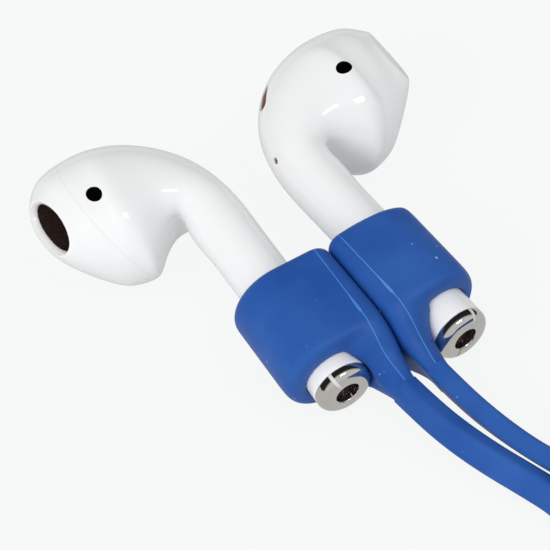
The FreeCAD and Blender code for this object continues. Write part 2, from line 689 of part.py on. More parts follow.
def pitched(shape):
    return placed(shape, Placement(Vector(0, 0, 0), Rotation(Vector(1, 0, 0), REST_PITCH)))


def rest_shift(shapes):
    """The move that brings the middle of the bottom of the shapes' box to the origin."""
    box = FreeCAD.BoundBox()
    for shape in shapes:
        box.add(shape.optimalBoundingBox(False))
    return Vector(-box.Center.x, -box.Center.y, -box.ZMin)


def left_stem_frame(nose_drop):
    """The left stem in the pair's axes: local Z to the head, local X outwards and down by nose_drop."""
    tail_joint = Vector(-SLEEVE_SPACING / 2, 0, 0)
    splay, drop = math.radians(SPLAY), math.radians(nose_drop)
    along = Vector(math.sin(splay), math.cos(splay), 0)
    outwards = Vector(-math.cos(splay), math.sin(splay), 0)
    across = Vector(0, 0, 1) * math.cos(drop) + outwards * math.sin(drop)
    return frame_at(tuple(tail_joint), tuple(along), across)


def mirrored(shape):
    return shape.mirror(Vector(0, 0, 0), Vector(1, 0, 0))


def main():
    os.makedirs("parts", exist_ok=True)
    bud_frame = left_stem_frame(NOSE_DROP)
    sleeve_frame = left_stem_frame(0.0)
    splay = math.radians(SPLAY)
    deeper = Vector(math.sin(splay), -math.cos(splay), 0) * RIGHT_INSERT
    nodes = {}
    for name, shape in earbud().items():
        left = placed(shape, bud_frame)
        right = mirrored(left)
        right.translate(deeper)
        nodes["left_" + name] = pitched(left)
        nodes["right_" + name] = pitched(right)
    sleeve, magnet = sleeve_and_magnet()
    for name, shape in (("sleeve", sleeve), ("sleeve_magnet", magnet)):
        left = placed(mirrored(shape), sleeve_frame)
        nodes["left_" + name] = pitched(left)
        nodes["right_" + name] = pitched(mirrored(left))
    shift = rest_shift(nodes.values())
    print("rest shift", shift)
    for shape in nodes.values():
        shape.translate(shift)
    strap(nodes, sleeve_frame, shift)
    for name, shape in nodes.items():
        shape.exportStep("parts/%s.step" % name)


main()
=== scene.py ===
"""Stem earbuds in the sleeves of a silicone neck strap: the looks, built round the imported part."""
import math

import bmesh
import bpy
import numpy as np
from mathutils import Matrix, Vector
from mathutils.bvhtree import BVHTree


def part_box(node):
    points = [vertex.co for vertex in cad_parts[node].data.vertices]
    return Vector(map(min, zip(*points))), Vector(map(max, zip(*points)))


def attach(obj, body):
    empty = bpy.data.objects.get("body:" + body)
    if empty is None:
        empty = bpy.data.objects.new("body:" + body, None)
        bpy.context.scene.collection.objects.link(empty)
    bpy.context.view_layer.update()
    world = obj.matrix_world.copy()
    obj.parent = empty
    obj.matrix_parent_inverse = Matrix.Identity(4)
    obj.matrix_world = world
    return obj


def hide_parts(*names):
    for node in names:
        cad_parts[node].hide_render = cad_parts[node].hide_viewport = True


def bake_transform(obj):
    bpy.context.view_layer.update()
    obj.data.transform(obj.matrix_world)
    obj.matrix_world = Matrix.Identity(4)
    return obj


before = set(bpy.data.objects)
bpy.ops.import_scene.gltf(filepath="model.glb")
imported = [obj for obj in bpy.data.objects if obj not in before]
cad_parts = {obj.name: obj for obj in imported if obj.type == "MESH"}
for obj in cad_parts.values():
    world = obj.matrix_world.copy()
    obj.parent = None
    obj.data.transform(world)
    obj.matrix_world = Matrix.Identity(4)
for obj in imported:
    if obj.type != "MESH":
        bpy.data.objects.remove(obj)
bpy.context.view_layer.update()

# Lengths are in millimetres until a mesh is made
MM = 0.001
SIDES = ("left", "right")

# How the pair lies, as in the part
SLEEVE_SPACING = 13.18
SPLAY = math.radians(2.66)
NOSE_DROP = math.radians(11.0)
REST_PITCH = math.radians(8.2)
RIGHT_INSERT = 1.4
REST_SHIFT = (-0.0325, -16.8454, 4.6631)

# Earbud: the stem, and the head's stations (centre, tilt, yaw, half height, half width)
STEM_RADIUS = 3.05
STEM_STRAIGHT = 19.5
STATIONS = (
    (0.15, 0.0, 24.85, 12.0, 0.0, 3.15, 3.2),
    (1.1, 0.0, 28.8, 42.5, 0.0, 3.48, 3.9),
    (5.0, 0.05, 30.0, 71.0, -0.5, 6.85, 5.6),
    (7.6, -0.2, 30.8, 79.5, -0.5, 7.65, 7.1),
    (10.15, 0.2, 31.45, 86.0, 10.2, 7.55, 6.6),
    (13.1, 2.05, 31.7, 94.0, 20.5, 6.15, 4.63),
    (15.0, 4.1, 31.4, 94.0, 40.0, 3.65, 2.2),
)
NOZZLE = STATIONS[-1]
NOZZLE_PLACE = 8.0          # the nozzle's place along the head; the stem's end is at 1
NOSE_PLACE = 7.8            # here the skin starts to turn into the nozzle's flat rim
NOSE_FLAT = (0.2, 0.15)     # how much smaller the rim's flat is than the nozzle's section
# Where the skin is evened out along the head: place, spread, reach, and how evenly all round
EVENED = ((3.0, 1.1, 0.62, 0.2), (5.2, 0.9, 0.36, 0.3))
SEAM_X = {"left": 9.2, "right": 8.05}
SEAM_Z = 30.8
SEAM_YAW = math.radians(-19.2)
SEAM_ROUND = 0.04
SEAM_BETWEEN = (3.6, 7.2)   # places along the head
WALL = 0.75
STEM_EDGE = 0.09            # rounding of the stem's end
POCKET = (3.4, 2.05)
POCKET_DEPTH = 0.95
POCKET_LIP = 0.06
RING_OPENING = (3.15, 1.55)
RING_DEPTH = 0.62
RING_SEAT = 0.14            # how much wider the pocket's floor is than the ring's opening
# Place, normal, half sizes, and for a sensor the way that its second half size lies
SENSORS = {
    "left": ((9.5, 6.56, 30.44), (0.16, 0.98, -0.10), 0.76, 0.92, (-0.45, -0.40, -0.80)),
    "right": ((7.75, 6.9, 30.48), (-0.25, 0.96, -0.09), 0.88, 0.76, (0, 0, 1)),
}
SLOT = ((1.42, 1.4, 35.0), (-0.69, 0.29, 0.67), 1.7, 0.65)
VENT = ((-2.53, 0.85, 27.44), (-0.95, 0.23, 0.19), 0.38, 0.28)
# Which outline each vent has, and half the length of its straight sides
VENTS = {"rear_vent": (SLOT, SLOT[2] - SLOT[3]), "stem_vent": (VENT, 0.0)}
VENT_DEPTH = 0.2
HOLE_SPACE = 0.02           # round the sensor's window
DOME_RISE = 0.25            # of the nozzle's screen, and the half sizes where the dome is level
DOME_HALVES = (3.2, 1.9)
# Pitch and wire of the woven screens
VENT_WEAVE, NOZZLE_WEAVE, TAIL_WEAVE = (0.16, 0.03), (0.2, 0.045), (0.2, 0.04)

# Stem tail
CONTACT_LENGTH = 1.38
CONTACT_EDGE = 1.0
CONTACT_HOLE = 1.3
CONTACT_SPLIT = math.radians(16.0)
CONTACT_GAP = 0.4
CLOSED_GAP = 0.1            # where the split is all but closed
CONTACT_TOP_EDGE, CONTACT_HOLE_EDGE = 0.08, 0.16
CARRIER_RADIUS, CARRIER_BORE, CARRIER_TOP = 2.2, 1.4, 2.98
TAIL_MESH_INSET = 0.9
TAIL_JOINT = 0.03           # from the stem's end to the ring

# Sleeve, in its own axes: N towards the other sleeve, U up, Z along the stem to the head
SLEEVE_BORE = 3.1
SLEEVE_HEAD_END = 12.9
RIM_ROUND, TAIL_ROUND = 1.2, 1.1
SLEEVE_GAP = 0.04
STRAP_WIDTH, STRAP_HEIGHT, STRAP_CORNER = 2.4, 3.4, 0.6
STRAP_RIDGE = 0.07
STRAP_START = -5.2

# Coil of the put-away strap
COIL_X, COIL_Y = 23.5, -51.85
COIL_LOW, COIL_HIGH = 2.2, 6.1
COIL_INNER = 13.6
COIL_STEP = 1.8             # change of radius in each half turn
COIL_POINTS = 16            # spline points in each turn
TIE_THICKNESS, TIE_CORNER, TIE_EDGE = 0.4, 1.0, 0.18


def unit(vector):
    vector = np.asarray(vector, float)
    return vector / np.linalg.norm(vector)


def frame_matrix(origin, normal, across=(0, 1, 0)):
    """Axes whose Z is the normal and whose Y lies along across."""
    z = unit(normal)
    y = unit(np.asarray(across, float) - z * np.dot(across, z))
    matrix = np.eye(4)
    matrix[:3, 0], matrix[:3, 1], matrix[:3, 2], matrix[:3, 3] = np.cross(y, z), y, z, origin
    return matrix


def moved(vector):
    matrix = np.eye(4)
    matrix[:3, 3] = vector
    return matrix


def stem_frame(drop):
    """The left stem in the pair's axes: Z to the head, X outwards and down by the drop."""
    along = np.array([math.sin(SPLAY), math.cos(SPLAY), 0])
    outwards = np.array([-math.cos(SPLAY), math.sin(SPLAY), 0])
    across = np.array([0, 0, 1]) * math.cos(drop) + outwards * math.sin(drop)
    return frame_matrix((-SLEEVE_SPACING / 2, 0, 0), along, across)


MIRROR = np.diag([-1.0, 1.0, 1.0, 1.0])
REST = moved(REST_SHIFT) @ np.array(Matrix.Rotation(REST_PITCH, 4, "X"))
DEEPER = moved((RIGHT_INSERT * math.sin(SPLAY), -RIGHT_INSERT * math.cos(SPLAY), 0))
BUD = {"left": REST @ stem_frame(NOSE_DROP), "right": REST @ DEEPER @ MIRROR @ stem_frame(NOSE_DROP)}
SLEEVE = {"left": REST @ stem_frame(0) @ MIRROR, "right": REST @ MIRROR @ stem_frame(0) @ MIRROR}


def carried(points, matrix):
    return np.asarray(points, float) @ matrix[:3, :3].T + matrix[:3, 3]


# Camera: it sees this width at this distance

VIEW_WIDTH, VIEW_DISTANCE = 55, 380
camera = bpy.data.objects.new("camera", bpy.data.cameras.new("camera"))
bpy.context.scene.collection.objects.link(camera)
camera.matrix_world = Matrix((
    (0.828960, 0.467556, -0.306948, -0.1230178),
    (-0.549672, 0.579600, -0.601601, -0.2343608),
    (-0.103375, 0.667424, 0.737468, 0.2913093),
    (0, 0, 0, 1)))
camera.data.sensor_width = 36
camera.data.lens = camera.data.sensor_width / VIEW_WIDTH * VIEW_DISTANCE
camera.data.clip_start, camera.data.clip_end = 0.01, 10
bpy.context.scene.camera = camera


# Neck strap, in the part's axes

def round_point(centre_x, angle, radius, height):
    """A spline point just outside a round stretch of the coil, so that the spline runs along it."""
    reach = radius / math.cos(math.pi / COIL_POINTS)
    return (centre_x + reach * math.cos(angle), COIL_Y + reach * math.sin(angle), height)


def spiral(first_angle, sense, half_turns, first_radius, growth, height):
    steps = COIL_POINTS // 2 * half_turns
    for i in range(steps + 1):
        share = i / (COIL_POINTS // 2)
        angle, radius = first_angle + sense * math.pi * share, first_radius + growth * share
        yield round_point(COIL_X, angle, radius, height)


def coil_points():
    """The coil from the left strand's end to the middle of the tie, and on to the right strand."""
    lower = list(spiral(math.pi, 1, 4, COIL_INNER + 4 * COIL_STEP, -COIL_STEP, COIL_LOW))
    middle, steps = [], COIL_POINTS // 2
    centre = (COIL_LOW + COIL_HIGH) / 2
    # two bends lead through the coil's middle and up to its second layer
    for i in range(1, 2 * steps):
        way = min(max(i / steps - 1, -0.5), 0.5)
        height = centre + (COIL_HIGH - COIL_LOW) * 2 * way * (1 - abs(way))
        side = -1 if i <= steps else 1
        turn = math.pi * i / steps
        angle = math.pi + turn if side < 0 else 2 * math.pi - turn
        middle.append(round_point(COIL_X + side * COIL_INNER / 2, angle, COIL_INNER / 2, height))
    inner = list(spiral(0, -1, 2, COIL_INNER, COIL_STEP, COIL_HIGH))
    outer = list(spiral(0, -1, 1, COIL_INNER + 2 * COIL_STEP, COIL_STEP, COIL_HIGH))
    return lower + middle + inner, outer


LEFT_STRAND = (
    (-1.92, -22.10, 4.40), (-1.60, -25.2, 3.95), (-0.80, -28.8, 3.2), (0.45, -32.6, 2.4),
    (1.90, -36.6, 1.85), (2.90, -41.0, 2.0), (2.7, -45.05, 2.2), (2.7, -48.85, 2.2),
)
RIGHT_STRAND = (
    (2.05, -22.10, 4.40), (2.38, -25.6, 3.8), (3.25, -29.6, 2.9), (4.40, -33.6, 2.2),
    (5.2, -37.6, 2.7), (5.5, -41.5, 5.0), (4.6, -45.05, 6.1), (4.5, -48.85, 6.1),
)
lower_coil, outer_turn = coil_points()
STRAP_ROUTES = {
    "strap_long": list(LEFT_STRAND) + lower_coil,
    "strap_short": list(RIGHT_STRAND) + outer_turn[::-1],
}


def spline_line(name, points):
    """The points of a smooth spline through the route, in millimetres."""
    curve = bpy.data.curves.new(name, "CURVE")
    curve.dimensions = "3D"
    curve.resolution_u = 8
    spline = curve.splines.new("NURBS")
    spline.points.add(len(points) - 1)
    for i, point in enumerate(points):
        spline.points[i].co = (*(value * MM for value in point), 1)
    spline.order_u = 3
    spline.use_endpoint_u = True
    holder = bpy.data.objects.new(name, curve)
    bpy.context.scene.collection.objects.link(holder)
    line = bpy.data.meshes.new_from_object(holder)
    found = np.array([vertex.co for vertex in line.vertices]) / MM
    bpy.data.objects.remove(holder)
    bpy.data.meshes.remove(line)
    bpy.data.curves.remove(curve)
    return found


def rounded_loop(width, height, radius, steps):
    """Points of a rounded rectangle, corner by corner, with the way out at each."""
    points, outs = [], []
    for k, (sx, sy) in enumerate(((1, 1), (-1, 1), (-1, -1), (1, -1))):
        for i in range(steps + 1):
            angle = math.pi / 2 * (k + i / steps)
            out = np.array([math.cos(angle), math.sin(angle)])
            points.append(np.array([sx * (width / 2 - radius), sy * (height / 2 - radius)]) + radius * out)
            outs.append(out)
    return np.array(points), np.array(outs)


def turned(points, angle):
    c, s = math.cos(angle), math.sin(angle)
    return points @ np.array([[c, -s], [s, c]])


def strap_section(tilt):
    """A rounded strip with a fine moulding ridge on its top inner corner, turned by the tilt."""
    points, outs = rounded_loop(STRAP_WIDTH, STRAP_HEIGHT, STRAP_CORNER, 6)
    points[3] += STRAP_RIDGE * outs[3]
    return turned(points, tilt)


def edge_arc(radius, degrees):
    """A rounded edge: how far it is from one face and from the other at each angle along it."""
    turns = [math.radians(degree) for degree in degrees]
    return [(radius * (1 - math.sin(a)), radius * (1 - math.cos(a))) for a in turns]


QUARTER = (0, 30, 60, 90)


def torus_faces(rows, cols):
    """Quads of a grid that closes both ways."""
    faces = []
    for i in range(rows):
        for j in range(cols):
            a, b = i * cols, (i + 1) % rows * cols
            k = (j + 1) % cols
            faces.append((a + j, a + k, b + k, b + j))
    return faces


def tube_faces(rows, cols):
    """Quads of a grid that closes round its rows, with a flat cap at each end."""
    faces = torus_faces(rows, cols)[:(rows - 1) * cols]
    faces.append(tuple(reversed(range(cols))))
    faces.append(tuple(range((rows - 1) * cols, rows * cols)))
    return faces


def piece(name, points, faces, matrix=None, sharp=40.0):
    """A mesh object in the part's axes, from points in millimetres."""
    points = np.asarray(points, float).reshape(-1, 3)
    if matrix is not None:
        points = carried(points, matrix)
        if np.linalg.det(matrix[:3, :3]) < 0:
            faces = [tuple(reversed(face)) for face in faces]
    mesh = bpy.data.meshes.new(name)
    mesh.from_pydata((points * MM).tolist(), [], [tuple(map(int, face)) for face in faces])
    mesh.update()
    obj = bpy.data.objects.new(name, mesh)
    bpy.context.scene.collection.objects.link(obj)
    smooth(obj, sharp)
    return obj


def bench(name, points, faces):
    """A closed mesh in its own axes, a millimetre to the unit, for cutting and evening out."""
    obj = piece(name, np.asarray(points, float) / MM, faces)
    return outwards(obj)


def taken(obj):
    """The points and faces of a bench mesh, which is then put away."""
    points = np.array([vertex.co for vertex in obj.data.vertices])
    faces = [tuple(face.vertices) for face in obj.data.polygons]
    bpy.data.objects.remove(obj)
    return points, faces


def smooth(obj, sharp):
    obj.data.shade_smooth()
    obj.data.set_sharp_from_angle(angle=math.radians(sharp))


def finished(obj, body, slot, look, *nodes):
    """A piece rides on its body, takes the given finish and stands for CAD nodes. The slot is not used."""
    obj.data.materials.clear()
    obj.data.materials.append(look)
    if nodes:
        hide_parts(*nodes)
    if body:
        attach(obj, body)


# How the strap leans and thickens along its way from the sleeve: each change starts at a length
# and takes a length
TILT_START, TILT_END, TILT_RUN = math.radians(18), math.radians(30), 14
UPRIGHT_FROM, UPRIGHT_RUN = 20, 8
THINNER = 0.11              # by how much the strap is thinner where it leaves the sleeve
FULL_FROM, FULL_RUN = 17, 12
OVERLAP = 0.8               # of the strap in the sleeve's tail


def ease(share):
    share = np.clip(share, 0, 1)
    return share * share * (3 - 2 * share)


def strap_piece(name, side):
    """One length of the strap, a strip that leans over after the sleeve and stands up in the coil."""
    line = spline_line(name, STRAP_ROUTES[name])
    keep = np.r_[True, np.linalg.norm(np.diff(line, axis=0), axis=1) > 1e-4]
    line = line[keep]
    way = np.r_[0, np.cumsum(np.linalg.norm(np.diff(line, axis=0), axis=1))]
    along = np.gradient(line, way, axis=0)
    along /= np.linalg.norm(along, axis=1)[:, None]
    sense = 1 if side == "left" else -1
    lead = line[0] - along[0] * OVERLAP
    line = np.vstack([lead, line])
    way = np.r_[-OVERLAP, way]
    along = np.vstack([along[0], along])
    points = []
    for at, s, t in zip(line, way, along):
        lean = TILT_START + (TILT_END - TILT_START) * ease(s / TILT_RUN)
        lean *= 1 - ease((s - UPRIGHT_FROM) / UPRIGHT_RUN)
        across = unit(np.cross(t, (0, 0, 1)))
        upwards = np.cross(across, t)
        scale = 1 - THINNER * (1 - ease((s - FULL_FROM) / FULL_RUN))
        # across points to the left strand's outer side when it runs to -Y
        section = strap_section(lean) * scale
        if sense > 0:
            section = section * (-1, 1)
        points.append(at + section[:, :1] * across + section[:, 1:] * upwards)
    faces = tube_faces(len(points), len(points[0]))
    if sense < 0:
        faces = [tuple(reversed(face)) for face in faces]
    obj = piece(name, np.vstack(points), faces)
    bpy.context.view_layer.update()
    return obj, line, way[-1] + OVERLAP


# Materials

def add_node(tree, kind, settings=None, inputs=None):
    """A new node; each input is a plain value, or a socket or a Value that is linked to it."""
    node = tree.nodes.new(kind)
    for key, value in (settings or {}).items():
        setattr(node, key, value)
    for key, value in (inputs or {}).items():
        if isinstance(value, Value):
            value = value.socket
        if hasattr(value, "is_output"):
            tree.links.new(value, node.inputs[key])
        else:
            node.inputs[key].default_value = value
    return node


class Value:
    """A socket that plain arithmetic can be written with."""

    def __init__(self, look, socket):
        self.look, self.socket = look, socket

    def maths(self, operation, first, second):
        return self.look.node("ShaderNodeMath", {"operation": operation}, {0: first, 1: second})

    def __add__(self, other):
        return self.maths("ADD", self, other)

    def __rsub__(self, other):
        return self.maths("SUBTRACT", other, self)

    def __mul__(self, other):
        return self.maths("MULTIPLY", self, other)


class Look:
    """A material under construction: its Principled shader and the nodes that feed it."""

    def __init__(self, name, **settings):
        self.material = bpy.data.materials.new(name)
        self.material.use_nodes = True
        self.tree = self.material.node_tree
        self.shader = self.tree.nodes["Principled BSDF"]
        self.here = self.node("ShaderNodeTexCoord", output="Object")
        for socket, value in settings.items():
            self.shader.inputs[socket.replace("_", " ")].default_value = value

    def node(self, kind, settings=None, inputs=None, output=0):
        return Value(self, add_node(self.tree, kind, settings, inputs).outputs[output])

    def noise(self, scale, detail=2.0, roughness=0.5):
        inputs = {"Vector": self.here, "Scale": scale, "Detail": detail, "Roughness": roughness}
        return self.node("ShaderNodeTexNoise", None, inputs)

    def band(self, value, low, high, out_low=0.0, out_high=1.0):
        """The value's share between two levels, clamped, as a new range."""
        return self.node("ShaderNodeMapRange", None, {
            "Value": value, "From Min": low, "From Max": high, "To Min": out_low, "To Max": out_high})

    def mix(self, share, first, second):
        """Mixes two colours, each a value or a plain colour."""
        inputs = {"Factor": share}
        for socket, colour in ((6, first), (7, second)):
            inputs[socket] = colour if isinstance(colour, Value) else (*colour, 1)
        return self.node("ShaderNodeMix", {"data_type": "RGBA"}, inputs, output=2)

    def mottled(self, share, colour, loss):
        """The colour, darker by the loss where the share is low."""
        return self.mix(share, tuple(value * (1 - loss) for value in colour), colour)

    def bump(self, height, distance, strength):
        bumped = self.node("ShaderNodeBump", None, {
            "Height": height, "Distance": distance, "Strength": strength})
        self.feed(Normal=bumped)

    def feed(self, **values):
        for socket, value in values.items():
            self.tree.links.new(value.socket, self.shader.inputs[socket.replace("_", " ")])
        return self.material


def plastic(name, colour, rough=0.1):
    """Polished moulded plastic: a little uneven in gloss, with the faint ripple of its mould."""
    look = Look(name, Coat_Weight=0.25, Coat_Roughness=0.03, Specular_IOR_Level=0.3)
    cloud = look.noise(160, 3)
    smear = look.noise(900, 4, 0.6)
    look.bump(look.noise(420, 1), 0.00001, 0.35)
    return look.feed(
        Base_Color=look.mottled(cloud, colour, 0.03),
        Roughness=look.band(cloud * 0.6 + smear * 0.4, 0.3, 0.7, rough * 0.7, rough * 1.5))


def silicone(name, colour, pale):
    """Matte translucent silicone: cloudy, slightly grainy, with a few specks of dust."""
    look = Look(name, IOR=1.33, Sheen_Weight=0.04, Sheen_Roughness=0.4)
    cloud = look.noise(95, 3, 0.55)
    grain = look.noise(5200, 2)
    dust = look.node("ShaderNodeTexVoronoi", {"feature": "F1"}, {"Vector": look.here, "Scale": 620})
    patch = look.band(look.noise(240, 2), 0.52, 0.6)
    speck = (1 - look.band(dust, 0.06, 0.12)) * patch
    body = look.mix(look.band(cloud, 0.35, 0.68), colour, pale)
    look.bump(grain * 0.6 + speck * 1.5 + look.noise(1300, 3) * 0.8, 0.000012, 0.7)
    return look.feed(
        Base_Color=look.mix(speck * 0.7, body, (0.46, 0.60, 0.88)),
        Roughness=look.band(cloud + speck, 0.3, 1.3, 0.42, 0.62))


def metal(name, colour, rough):
    """Plated or drawn metal with fine wear in its gloss."""
    look = Look(name, Metallic=1.0)
    stretch = look.node("ShaderNodeMapping", None, {"Vector": look.here, "Scale": (1, 1, 0.15)})
    wear = look.node("ShaderNodeTexNoise", None, {"Vector": stretch, "Scale": 2500, "Detail": 3})
    cloud = look.noise(330, 2)
    look.bump(wear, 0.000002, 0.3)
    return look.feed(
        Base_Color=look.mottled(cloud, colour, 0.14),
        Roughness=look.band(wear * 0.5 + cloud * 0.5, 0.3, 0.7, rough * 0.6, rough * 1.5))


def plain(name, colour, rough, mottle=0.15, grain=1800.0, metallic=0.0, ior=1.5):
    """A plain moulded, cut or pressed piece with fine grain."""
    look = Look(name, Metallic=metallic, IOR=ior)
    grains = look.noise(grain, 3)
    look.bump(grains, 0.000008, 0.4)
    return look.feed(
        Base_Color=look.mottled(grains, colour, mottle),
        Roughness=look.band(look.noise(500, 2), 0.3, 0.7, rough * 0.85, rough * 1.1))


WHITE = plastic("white_shell", (0.86, 0.866, 0.87))
TRIM = plastic("white_ring", (0.84, 0.84, 0.83), 0.22)
BLUE = silicone("blue_silicone", (0.010, 0.074, 0.335), (0.022, 0.106, 0.40))
# The sleeve ridge's paler blue is a painted highlight along the parting line, not a colour of its own
RIDGE_HIGHLIGHT = silicone("blue_ridge_painted_highlight", (0.04, 0.19, 0.58), (0.08, 0.27, 0.66))
BAND = silicone("band_silicone", (0.009, 0.066, 0.31), (0.018, 0.094, 0.37))
CHROME = metal("plated_contact", (0.76, 0.735, 0.70), 0.05)
STEEL = metal("pressed_steel", (0.60, 0.61, 0.62), 0.3)
NICKEL = metal("nickel_magnet", (0.72, 0.70, 0.66), 0.2)
COPPER = metal("copper_foil", (0.80, 0.42, 0.24), 0.3)
TIN = metal("tinned_can", (0.70, 0.69, 0.64), 0.28)
WINDOW = plain("black_window", (0.001, 0.001, 0.0015), 0.4, 0.3, ior=1.12)
BROWN = plain("brown_vent", (0.30, 0.14, 0.065), 0.5, 0.3, 5200)
WOVEN = plain("brown_wire", (0.045, 0.020, 0.013), 0.35, 0.4, 5200, 0.6)
UMBER = plain("umber_felt", (0.10, 0.045, 0.022), 0.8, 0.4, 6000)
CLOTH = plain("black_felt", (0.012, 0.008, 0.007), 0.8, 0.5, 6000)
FILM = plain("diaphragm_film", (0.62, 0.56, 0.42), 0.35)
BOARD = plain("green_board", (0.02, 0.13, 0.06), 0.4, 0.3, 900)
INSULATOR = plain("white_insulator", (0.70, 0.70, 0.66), 0.42, 0.06)
BLACK = plain("black_moulding", (0.02, 0.02, 0.022), 0.5)

CAD_LOOKS = {
    "sensor_chip": BLACK, "driver_basket": STEEL, "driver_magnet": NICKEL, "driver_pole_plate": STEEL,
    "voice_coil": COPPER, "diaphragm": FILM, "driver_front_ring": BLACK, "main_board": BOARD,
    "microphone": TIN, "battery": TIN, "antenna_strip": COPPER, "sleeve_magnet": NICKEL,
}
for side in SIDES:
    for node, look in CAD_LOOKS.items():
        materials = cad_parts[side + "_" + node].data.materials
        materials.clear()
        materials.append(look)


# The strap's pieces come before all others

for name, side, replaced in (
        ("strap_long", "left", ("strap_left_strand", "strap_coil")),
        ("strap_short", "right", ("strap_right_strand",))):
    strip, line, length = strap_piece(name, side)
    finished(strip, "root" if side == "left" else None, "blue_silicone", BLUE, *replaced)
    if side == "right":
        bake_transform(strip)


def tie_band():
    """A flat silicone band round all the turns on the coil's east side."""
    low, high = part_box("strap_tie")
    low, high = np.array(low) / MM, np.array(high) / MM
    size, middle = high - low, (low + high) / 2
    loop, outs = rounded_loop(size[0] - TIE_THICKNESS, size[2] - TIE_THICKNESS, TIE_CORNER, 8)
    section, _ = rounded_loop(size[1], TIE_THICKNESS, TIE_EDGE, 3)
    rows = []
    for at, out in zip(loop, outs):
        rows += [(middle[0] + at[0] + out[0] * b, middle[1] + a, middle[2] + at[1] + out[1] * b)
                 for a, b in section]
    return piece("strap_band", rows, torus_faces(len(loop), len(section)), sharp=60)


finished(tie_band(), "root", "tie_band", BAND, "strap_tie")


# Earbud shells

def natural_bends(values):
    """Second derivatives of the natural cubic spline through evenly spaced values."""
    count = len(values)
    system = np.eye(count)
    load = np.zeros_like(values)
    for i in range(1, count - 1):
        system[i, i - 1:i + 2] = 1, 4, 1
        load[i] = 6 * (values[i + 1] - 2 * values[i] + values[i - 1])
    return np.linalg.solve(system, load)


def stem_row(z):
    return (0.0, 0.0, z, 0.0, 0.0, STEM_RADIUS, STEM_RADIUS)


LEAD_IN = 2 * STEM_STRAIGHT - STATIONS[0][2]
HEAD = np.array([stem_row(LEAD_IN), stem_row(STEM_STRAIGHT), *STATIONS])
HEAD_BENDS = natural_bends(HEAD)


def station(u):
    """Station values at places along the bud: the stem up to 1, then the head."""
    u = np.asarray(u, float)
    i = np.clip(u.astype(int), 0, len(HEAD) - 2)
    t = (u - i)[..., None]
    s = 1 - t
    values = s * HEAD[i] + t * HEAD[i + 1]
    values = values + ((s ** 3 - s) * HEAD_BENDS[i] + (t ** 3 - t) * HEAD_BENDS[i + 1]) / 6
    stem = np.zeros_like(values)
    stem[..., 2] = u * STEM_STRAIGHT
    stem[..., 5:] = STEM_RADIUS
    return np.where((u < 1)[..., None], stem, values)


def section_axes(values):
    a, b = np.radians(values[..., 3]), np.radians(values[..., 4])
    along = np.stack([np.sin(a) * np.cos(b), np.sin(a) * np.sin(b), np.cos(a)], -1)
    across = np.stack([-np.sin(b), np.cos(b), 0 * b], -1)
    return np.cross(across, along), across, along


def plain_skin(u, theta):
    values = station(u)
    out, across, _ = section_axes(values)
    return (values[..., :3] + out * (values[..., 5] * np.cos(theta))[..., None]
            + across * (values[..., 6] * np.sin(theta))[..., None])


def skin(u, theta):
    """Points of the bud's outer surface, evened out along it in the valley and where it is widest."""
    u = np.asarray(u, float)
    side_on = np.sin(theta) ** 2
    reach = sum(far * np.exp(-((u - place) / spread) ** 2) * side_on / (side_on + even)
                for place, spread, far, even in EVENED)
    return sum(weight * plain_skin(u + k * reach, theta)
               for k, weight in zip(range(-2, 3), (1 / 9, 2 / 9, 3 / 9, 2 / 9, 1 / 9)))


def skin_normal(u, theta):
    step = 0.01
    lengthwise = skin(np.minimum(u + step, NOZZLE_PLACE), theta) - skin(u - step, theta)
    round_about = skin(u, theta + step) - skin(u, theta - step)
    normal = np.cross(round_about, lengthwise)
    return normal / np.linalg.norm(normal, axis=-1)[..., None]


AROUND = 144
THETA = np.arange(AROUND) * 2 * math.pi / AROUND
SEAM_NORMAL = np.array([math.cos(SEAM_YAW), math.sin(SEAM_YAW), 0.0])


def seam_places(x):
    """Where each column of the skin crosses the seam between front cover and rear shell."""
    low, high = (np.full(AROUND, place) for place in SEAM_BETWEEN)
    for _ in range(40):
        middle = (low + high) / 2
        behind = (skin(middle, THETA) - (x, 0.0, SEAM_Z)) @ SEAM_NORMAL < 0
        low, high = np.where(behind, middle, low), np.where(behind, high, middle)
    return (low + high) / 2


def seam_rows(seam, sense):
    """Rows of the rounded edge at the seam, from the plain skin to the seam itself."""
    speed = np.linalg.norm(skin(seam + 0.01, THETA) - skin(seam - 0.01, THETA), axis=-1) / 0.02
    rows = []
    for back in (3.0, 2.0, 1.4, 1.0, 0.7, 0.45, 0.25, 0.1, 0.0):
        distance = SEAM_ROUND * back
        lean = max(0.0, 1 - back)
        inset = SEAM_ROUND * (1 - math.sqrt(1 - lean * lean))
        u = seam + sense * distance / speed
        rows.append(skin(u, THETA) - skin_normal(u, THETA) * inset)
    return rows


def offset_row(u, depth):
    return skin(u, THETA) - skin_normal(u, THETA) * depth


def rear_places(seam):
    """Rows of the rear shell from the stem's end to a little before the seam, which bends them."""
    marks = np.r_[np.linspace(0.02, 1, 9), np.linspace(1, 3, 25)[1:], np.linspace(3, 4.93, 44)[1:]]
    return [mark + ease((mark - 3) / 1.9) * (seam - 5) for mark in marks]


def front_places(seam):
    """Rows of the front cover from just past the seam to the nose."""
    return [seam + (NOSE_PLACE - seam) * share for share in np.linspace(0.07, 1, 50)]


def oval_loop(half_x, half_y, z):
    return np.stack([half_x * np.cos(THETA), half_y * np.sin(THETA), np.full(AROUND, z)], -1)


def rear_shell_rows(seam):
    rows = seam_rows(seam, -1)[::-1]
    rows += [skin(u, THETA) for u in rear_places(seam)[::-1]]
    end = [(STEM_RADIUS - inset, rise) for rise, inset in edge_arc(STEM_EDGE, QUARTER)]
    rows += [oval_loop(radius, radius, z) for radius, z in [*end, (STEM_RADIUS - WALL, 0.0)]]
    rows += [offset_row(u, WALL) for u in rear_places(seam)[2:]]
    rows.append(offset_row(seam, WALL))
    return rows


